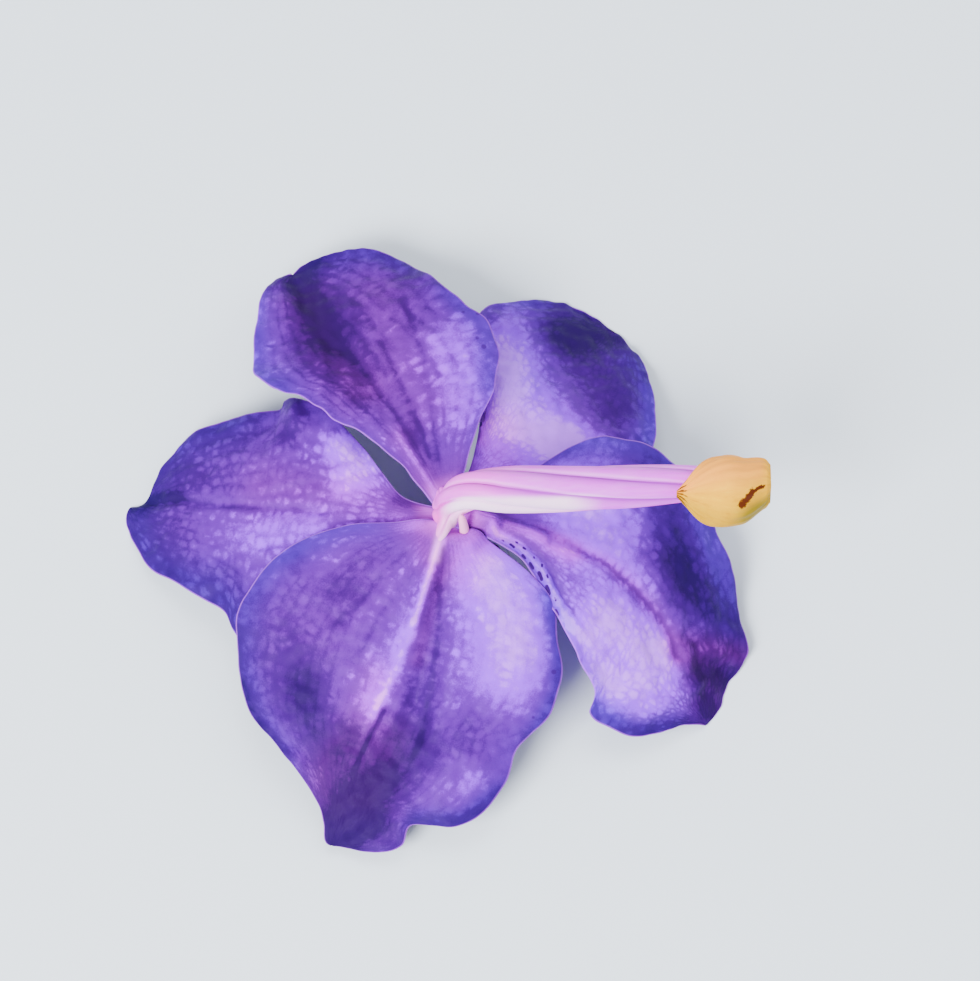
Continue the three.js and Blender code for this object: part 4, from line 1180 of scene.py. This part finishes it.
class ORCHID_OT_stalk(bpy.types.Operator):
    """Adds the ribbed stalk, which bends over the flower's back"""

    bl_idname = "orchid.add_stalk"
    bl_label = "Stalk and ovary"

    def execute(self, context):
        shares = np.concatenate([np.linspace(0, 0.25, 130)[:-1], np.linspace(0.25, 1, 170)])
        centre = stalk_centres(shares)
        ahead = np.gradient(centre, shares, axis=0)
        ahead /= np.linalg.norm(ahead, axis=1)[:, None]
        side = np.cross([0, 1, 0], ahead)
        side /= np.linalg.norm(side, axis=1)[:, None]
        over = np.cross(ahead, side)
        share = shares[:, None]
        angle = full_turn(120)
        lobe = np.abs(np.sin(STALK_RIBS / 2 * angle)) ** 0.7
        turned = angle + np.radians(STALK_TURN + STALK_TWIST * share)
        reach = self.reach(share, turned, lobe, centre[:, 2:3])
        points = HEART + centre[:, None] + reach[..., None] * (
            side[:, None] * np.cos(turned)[..., None] + over[:, None] * np.sin(turned)[..., None]
        )
        values = self.tints(share, angle, turned, lobe, centre[:, :1])
        material = stalk_finish(context.scene.orchid_colours)
        piece = add_mesh("fine_stalk_and_ovary", tube(points, values), material)
        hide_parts("stalk_and_ovary")
        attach(piece, "root")
        return {"FINISHED"}

    def reach(self, share, turned, lobe, height):
        """How far the stalk's surface stands from its centre line, with its ribs, flare and feet."""
        spur_side = bell(apart(turned, TRUMPET["spur_heading"]), TRUMPET["spur_width"])
        trumpet = TRUMPET["reach"] * bell(height - TRUMPET["height"], TRUMPET["spread"])
        trumpet = trumpet * (1 - TRUMPET["spur_share"] * spur_side)
        feet = np.zeros(turned.shape)
        for heading, longest, width, level in STALK_FEET:
            over = bell(height - level, FOOT_ROUNDING["over"])
            under = step(level - FOOT_ROUNDING["under"], level, height)
            feet += longest * bell(apart(turned, heading), width) * np.where(height > level, over, under)
        swell = 0.25 * bell(share - 0.32, 0.14) * (lobe - 0.6)
        crease = (0.14 + 0.12 * bell(share - 0.3, 0.2)) * (1 - step(0, 0.4, lobe)) * step(0.06, 0.16, share)
        ribbed = between(STALK_RADII, share[:, 0])[:, None] * (1 - RIB_DEPTH + RIB_DEPTH * lobe)
        return ribbed + (trumpet + feet) * (share < HOOK_SHARE) + swell - crease

    def tints(self, share, angle, turned, lobe, x):
        """The pale rib near the heart and painted light along the lower side past the hook, painted
        highlights on the rib crests, painted shade in and below the grooves, the blush at the foot and the
        green cut end.
        """
        past_hook = step(0.12, HOOK_SHARE, share)
        # Painted light: past the hook, the side that faces down is painted pale, as though lit from below.
        # Before the hook there is a pale rib instead.
        below = np.clip(-np.sin(turned) + 0.08 * np.sin(turned * 3 + 2), 0, 1)
        white_rib = bell(apart(turned, STALK_MARKS["pale_rib"] + STALK_TWIST * share), 24)
        white = (1 - past_hook) * white_rib + past_hook * step(0.5, 0.86, below) * step(20.5, 14, x)
        phase = angle / math.tau * STALK_RIBS % 1
        # Painted shade below the grooves, fading down the rib beneath, as though the rib above overhangs it.
        painted_valley_shade = step(0.42, 0.02, phase) * step(0.24, 0.4, share) * (1 - white)
        # Painted highlight: a pale line along the rib crests past the hook.
        painted_crest_highlight = bell(phase - 0.88, 0.09) * past_hook
        foot = bell(apart(turned, STALK_MARKS["foot"]), 26) * (1 - past_hook)
        hem = bell(apart(turned, STALK_MARKS["hem"]), 12) * past_hook
        # Painted shade in the grooves, less on the pale lower side near the heart, plus the painted shade
        # below them.
        painted_groove_shade = 0.7 * (1 - step(0.02, 0.5, lobe)) * (1 - 0.9 * white * step(15, 8, x)) + 0.7 * painted_valley_shade
        blush = 0.7 * step(HOOK_SHARE, 0.12, share) * (1 - 0.75 * white_rib)
        blush = blush * step(150, 60, apart(turned, STALK_MARKS["blush"])) * (1 - 0.85 * foot)
        return {
            "flat": together(share * 14, turned * 3, 1),
            "pale": np.clip(white + 0.28 * painted_crest_highlight + 0.5 * foot, 0.06, 1),
            "painted_groove_shade": np.clip(painted_groove_shade, 0, 1),
            "blush": blush + 0.5 * hem + 0.35 * bell(x - 3, 5) * (1 - white),
            "cut": step(0.997, 1, share),
        }


class ORCHID_OT_bract(bpy.types.Operator):
    """Adds the yellow bract that clasps the stalk's foot"""

    bl_idname = "orchid.add_bract"
    bl_label = "Bract"

    def execute(self, context):
        share, across = np.meshgrid(np.linspace(0, 1, 90), np.linspace(-1, 1, 101), indexing="ij")
        shares = share[:, 0]
        centre = stalk_centres(1 - BRACT_SHARE * shares)
        centre[:, 1] -= BRACT_SAG * step(0, 0.35, shares)
        radius = between(BRACT_RADII, shares)[:, None] - 0.3 * step(0.05, 0, share)
        half = np.radians(between(BRACT_HALF_ANGLES, shares))[:, None]
        half = half * (1 - 0.25 * step(0.12, 0, share) ** 2)
        angle = math.radians(BRACT_TILT) + half * across
        ridges = 0.05 * np.sin(across * 34) + 0.07 * waves(share * 12, across * 9, 5, 12, 3)
        outwards = together(0, -np.sin(angle), np.cos(angle))
        thick = 0.16 + 0.5 * np.clip(1 - np.abs(across), 0, 0.25) / 0.25 * np.clip(1 - share, 0, 0.15) / 0.15
        outer, inner = (
            HEART + centre[:, None] + outwards * (radius + ridges + lift)[..., None]
            for lift in (BRACT_MIDDLE + thick / 2, BRACT_MIDDLE - thick / 2)
        )
        part = sheet(outer, inner, self.tints(share, across))
        piece = add_mesh("fine_bract", part, bract_finish(context.scene.orchid_colours))
        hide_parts("bract")
        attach(piece, "root")
        return {"FINISHED"}

    def tints(self, share, across):
        """The scar, flecks and dry edge, the painted dark yellow-green shade near the foot and on the lower
        side, and the peach side.
        """
        thick, thin = (
            distance_to(line, share * BRACT_LENGTH, across * BRACT_HALF_WIDTH) / width for width, line in SCAR
        )
        scar = bell(np.minimum(thick, thin), 1)
        flecks = step(0.86, 0.97, share) * (0.5 + 0.5 * np.sin(across * 17 + share * 60))
        dry_edge = 0.3 * step(0.95, 1, np.abs(across)) * step(0.5, 1, share)
        return {
            "flat": together(share * 3, across * 14, 0),
            "place": together(share * 12, across * 10, 0),
            "brown": 1.0925 * scar + flecks + dry_edge,
            # Painted shade near the foot and along the lower side.
            "painted_olive_shade": bell(share - 0.2, 0.2) * bell(across - 0.46, 0.26) + 0.4 * step(0.05, 0.6, across),
            "peach": 0.8 * step(0.15, -0.45, across) * step(0.0, 0.15, share),
        }


# ---------------------------------------------------------------- lip and column


class ORCHID_OT_lip(bpy.types.Operator):
    """Adds the lip with its keeled mid lobe, two side lobes and spur, as one piece"""

    bl_idname = "orchid.add_lip"
    bl_label = "Lip"

    def execute(self, context):
        part = joined(self.mid_lobe(), self.side_lobe(-1), self.side_lobe(1), self.spur())
        piece = add_mesh("fine_lip", part, lip_finish(context.scene.orchid_colours))
        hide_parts("lip")
        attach(piece, "root")
        return {"FINISHED"}

    def mid_lobe(self):
        """The tongue in the middle, with keels along its underside."""
        along = np.linspace(0, 0.997, 110)
        t, s = np.meshgrid(along, np.linspace(-1, 1, 73), indexing="ij")
        share = np.abs(s)
        midrib = even_walk(LIP["midrib"], along)[:, None]
        flat = midrib + (even_walk(LIP["half"], along)[:, None] - midrib) * share[..., None]
        out = flat[..., 0]
        across = np.sign(s) * flat[..., 1]
        unrest = 0.12 * waves(out, across, 3, 14, 1.6)
        unrest += 0.25 * waves(t * 18, s * 20, 4, 8, 3) * step(0.7, 1, share)
        half_thick = LIP["thickness"] * (0.35 + 0.65 * step(1, 0.75, share)) / 2
        keels = LIP["keel"] * np.cos(3 * math.pi * share) ** 2 * (1 - share)
        keels = keels * (1 + 0.25 * waves(out * 2, across * 2, 6, 8, 1.5))
        upper = bent(LIP, out, across, unrest + half_thick)
        under = bent(LIP, out, across, unrest - half_thick - keels)
        pale = 0.7 * step(0.2, 0.02, t) + 0.25 * np.sin(6 * math.pi * share) ** 8 * step(0.6, 0.1, t)
        return sheet(upper, under, {"pale": pale, "cream": 0 * pale, "flat": together(out, across, 0)})

    def side_lobe(self, side):
        """The upright ear on one side, -1 or 1, of the lip's foot."""
        u, v = np.meshgrid(np.linspace(0, 1, 40), np.linspace(0, 1, 36), indexing="ij")
        x = LIP["start"] + 0.1 + SIDE_LOBE["length"] * u + 0.5 * v * (1 - u)
        height = (0.35 + SIDE_LOBE["height"] * np.sin(math.pi * (0.12 + 0.76 * u)) ** 0.8) * v
        z = SIDE_LOBE["top"] - SIDE_LOBE["fall"] * u - height
        y = SIDE_LOBE["apart"] + SIDE_LOBE["flare"] * height + 0.35 * v**2 * np.sin(3 * math.pi * u)
        thick = SIDE_LOBE["thickness"] - 0.32 * v
        outer, inner = (on_lip(x, side * (y + reach * thick), z) for reach in (0.5, -0.5))
        values = {
            "pale": 0.35 + 0.6 * step(0.9, 0.2, v),
            "cream": 0 * v,
            "flat": together(x, height + 30 * side, 0),
        }
        return sheet(inner, outer, values) if side > 0 else sheet(outer, inner, values)

    def spur(self):
        """The round, cream-tipped spur that comes up beside the heart."""
        share = np.linspace(-0.16, 1, 60)[:, None]
        up = np.clip(share, 0, 1)
        radius = spur_radius(up, SPUR["thinning"]) * rounding(share, 0.86, 0.0004)
        angle = full_turn(48)
        z = LIP["level"] + (SPUR["height"] + SPUR["rise"]) * share
        rings = on_lip(spur_lean(up) + radius * np.cos(angle), radius * np.sin(angle), z)
        cream = step(0.15, 0.6, share)
        return tube(rings, {"pale": 0 * cream, "cream": cream, "flat": together(share * 6, angle * 2, 60)})


class ORCHID_OT_column(bpy.types.Operator):
    """Adds the column with its anther cap and pollinia"""

    bl_idname = "orchid.add_column"
    bl_label = "Column, cap and pollinia"

    def execute(self, context):
        colours = context.scene.orchid_colours
        column_wax = wax_finish("Column wax", tuple(colours.column), rgb(142, 74, 190))
        cap_wax = wax_finish("Cap wax", tuple(colours.cap), rgb(226, 176, 70))
        pollinia_wax = wax_finish("Pollinia wax", tuple(colours.pollinia), rgb(196, 120, 20), 0.3)
        for node, part, material in (
            ("column", self.post(), column_wax),
            ("anther_cap", self.cap(), cap_wax),
            ("pollinia", self.grains(), pollinia_wax),
        ):
            piece = add_mesh("fine_" + node, part, material)
            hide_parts(node)
            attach(piece, "root")
        return {"FINISHED"}

    def post(self):
        """The column, with the stigma's hollow and a wing on each side of it."""
        share = np.linspace(0, 1, 110)[:, None]
        angle = -full_turn(96)
        turned = (angle + math.pi) % math.tau - math.pi
        from_stigma = share - STIGMA["middle"]
        hollow = bell(turned, STIGMA["width"], 4) * bell(from_stigma, STIGMA["length"], 4)
        wings = 0.3 * bell(np.abs(turned) - 0.85, 0.2) * bell(from_stigma, 0.26)
        round_end = np.sqrt(1 - np.clip((share - 0.94) / 0.06, 0, 1) ** 2 * 0.5)
        radius = between(COLUMN_RADII, share[:, 0])[:, None]
        radius = radius * (1 - 0.1 * np.clip(np.cos(angle), 0, 1) ** 2)
        reach = (radius - STIGMA["depth"] * hollow + wings) * round_end
        z = COLUMN_TOP + COLUMN_SUNK - (COLUMN_LENGTH + COLUMN_SUNK) * share
        rings = on_lip(reach * np.cos(angle), reach * np.sin(angle), z)
        tint = np.clip(0.75 * hollow + 0.5 * step(0.25, 0, share), 0, 1)
        return tube(rings, {"flat": together(share * 6, turned * 2, 0), "tint": tint})

    def cap(self):
        """A hollow cap: its outside from the top down, then its inside back up."""
        share = np.linspace(0, 1, 64)[:, None]
        angle = full_turn(72)
        outer = share < CAP["outer_share"]
        top_down, back_up = share / CAP["outer_share"], (1 - share) / (1 - CAP["outer_share"])
        arc = np.where(outer, top_down, back_up) * math.pi / 2
        radius = np.where(outer, CAP["radius"], CAP["radius"] - CAP["wall"]) * np.sin(arc)
        depth = np.where(outer, CAP["height"], CAP["height"] - CAP["wall"]) * np.cos(arc)
        crease = bell(np.sin(angle), 0.22) * (share < 0.5) * np.sin(arc)
        beak = bell((angle + math.pi) % math.tau - math.pi, 0.26) * np.sin(arc) ** 3 * (share < 0.75)
        reach = np.maximum(radius - CAP["crease"] * crease + CAP["beak"] * beak, 0.002)
        top = COLUMN_TOP - COLUMN_LENGTH - CAP["below"]
        rings = on_lip(reach * np.cos(angle), reach * np.sin(angle), top - depth)
        flat = together(share * 6, angle * 2, 9)
        tint = np.clip(0.5 * crease + 0.7 * beak + 0.2 * step(0.4, CAP["outer_share"], share), 0, 1)
        return tube(rings[::-1], {"flat": flat[::-1], "tint": tint[::-1]})

    def grains(self):
        """The two pollinia and the strap that joins them."""
        share = np.linspace(0.004, 0.996, 30)[:, None]
        angle = full_turn(28)
        middle = COLUMN_TOP - COLUMN_LENGTH - CAP["below"] - POLLINIUM_RADIUS
        reach = POLLINIUM_RADIUS * np.sin(math.pi * share) * (1 - 0.18 * bell(np.sin(angle), 0.2))
        z = middle - POLLINIUM_RADIUS * np.cos(math.pi * share)
        parts = []
        for side in (-1, 1):
            y = side * POLLINIUM_RADIUS * 0.9 + reach * np.sin(angle)
            rings = on_lip(-0.1 + reach * np.cos(angle), y, z)
            parts.append(tube(rings, {"flat": rings, "tint": 0 * share}))
        along = np.linspace(0, 1, 16)[:, None]
        width = 0.26 * (1 - 0.5 * along) * np.sqrt(np.clip(1 - (2 * along - 1) ** 6, 0.02, 1))
        strap = on_lip(-0.05 + 0.95 * along, width * np.cos(angle), middle - 0.5 * width * np.sin(angle))
        parts.append(tube(strap, {"flat": strap, "tint": 0.5 + 0 * along}))
        return joined(*parts)


# ---------------------------------------------------------------- stage


class ORCHID_OT_stage(bpy.types.Operator):
    """Adds the floor, the soft studio light and the camera"""

    bl_idname = "orchid.add_stage"
    bl_label = "Floor, light and camera"

    def execute(self, context):
        stage = context.scene.orchid_stage
        self.floor(stage)
        self.lights(context)
        self.camera(context, stage)
        return {"FINISHED"}

    def floor(self, stage):
        corners = [(FLOOR_REACH * x, FLOOR_REACH * y, 0) for x, y in ((-1, -1), (1, -1), (1, 1), (-1, 1))]
        mesh = bpy.data.meshes.new("floor")
        mesh.from_pydata(corners, [], [(0, 1, 2, 3)])
        finish = Finish("Pale board", roughness=0.75, specular=0.2)
        mesh.materials.append(finish.paint((*stage.floor, 1)))
        board = bpy.data.objects.new("floor", mesh)
        bpy.context.scene.collection.objects.link(board)

    def lights(self, context):
        world = bpy.data.worlds.new("Studio")
        world.use_nodes = True
        sky = world.node_tree.nodes["Background"]
        sky.inputs["Color"].default_value = (0.86, 0.88, 0.95, 1)
        sky.inputs["Strength"].default_value = 0.9
        context.scene.world = world
        heart = Vector(HEART * MM)
        for name, place, width, power in (
            ("Key", (-0.42, -0.5, 0.62), 0.45, 22.0),
            ("Fill", (0.6, 0.2, 0.5), 0.6, 2.5),
            ("Top", (0.0, 0.35, 0.8), 0.5, 3.5),
        ):
            data = bpy.data.lights.new(name, "AREA")
            data.size = width
            data.energy = power
            lamp = bpy.data.objects.new(name, data)
            lamp.location = place
            lamp.rotation_euler = (heart - Vector(place)).to_track_quat("-Z", "Y").to_euler()
            context.scene.collection.objects.link(lamp)

    def camera(self, context, stage):
        data = bpy.data.cameras.new("Camera")
        data.sensor_fit = "HORIZONTAL"
        data.sensor_width = SENSOR_WIDTH
        data.lens = SENSOR_WIDTH * stage.distance / (stage.pixel * PICTURE_WIDTH)
        data.clip_start = 0.01
        data.clip_end = 20
        tilt = stage.elevation
        right = Vector((1, 0, 0))
        up = Vector((0, math.sin(tilt), math.cos(tilt)))
        back = Vector((0, -math.cos(tilt), math.sin(tilt)))
        aim = Vector(HEART * MM) + right * (PICTURE_MIDDLE[0] - HEART_IN_PICTURE[0]) * stage.pixel
        aim += up * (HEART_IN_PICTURE[1] - PICTURE_MIDDLE[1]) * stage.pixel
        camera = bpy.data.objects.new("Camera", data)
        camera.location = aim + back * stage.distance
        camera.rotation_euler = (math.pi / 2 - tilt, 0, 0)
        context.scene.collection.objects.link(camera)
        context.scene.camera = camera


class ORCHID_PT_panel(bpy.types.Panel):
    """Lists the flower's pieces, its sizes and its colours"""

    bl_idname = "ORCHID_PT_panel"
    bl_label = "Vanda orchid"
    bl_space_type = "VIEW_3D"
    bl_region_type = "UI"
    bl_category = "Orchid"

    def draw(self, context):
        for operator in OPERATORS:
            self.layout.operator(operator.bl_idname)
        for group in (context.scene.orchid_shape, context.scene.orchid_colours, context.scene.orchid_stage):
            box = self.layout.box()
            for key in group.__annotations__:
                box.prop(group, key)


OPERATORS = (
    ORCHID_OT_stage, ORCHID_OT_tepals, ORCHID_OT_stalk, ORCHID_OT_bract, ORCHID_OT_lip, ORCHID_OT_column,
)
CLASSES = (OrchidShape, OrchidColours, OrchidStage, *OPERATORS, ORCHID_PT_panel)


def register():
    for item in CLASSES:
        bpy.utils.register_class(item)
    bpy.types.Scene.orchid_shape = PointerProperty(type=OrchidShape)
    bpy.types.Scene.orchid_colours = PointerProperty(type=OrchidColours)
    bpy.types.Scene.orchid_stage = PointerProperty(type=OrchidStage)


def unregister():
    del bpy.types.Scene.orchid_stage
    del bpy.types.Scene.orchid_colours
    del bpy.types.Scene.orchid_shape
    for item in reversed(CLASSES):
        bpy.utils.unregister_class(item)


def main():
    """Builds the flower and its stage."""
    register()
    bpy.ops.orchid.add_stage()
    bpy.ops.orchid.add_tepals()
    bpy.ops.orchid.add_stalk()
    bpy.ops.orchid.add_bract()
    bpy.ops.orchid.add_lip()
    bpy.ops.orchid.add_column()


if __name__ == "__main__":
    main()
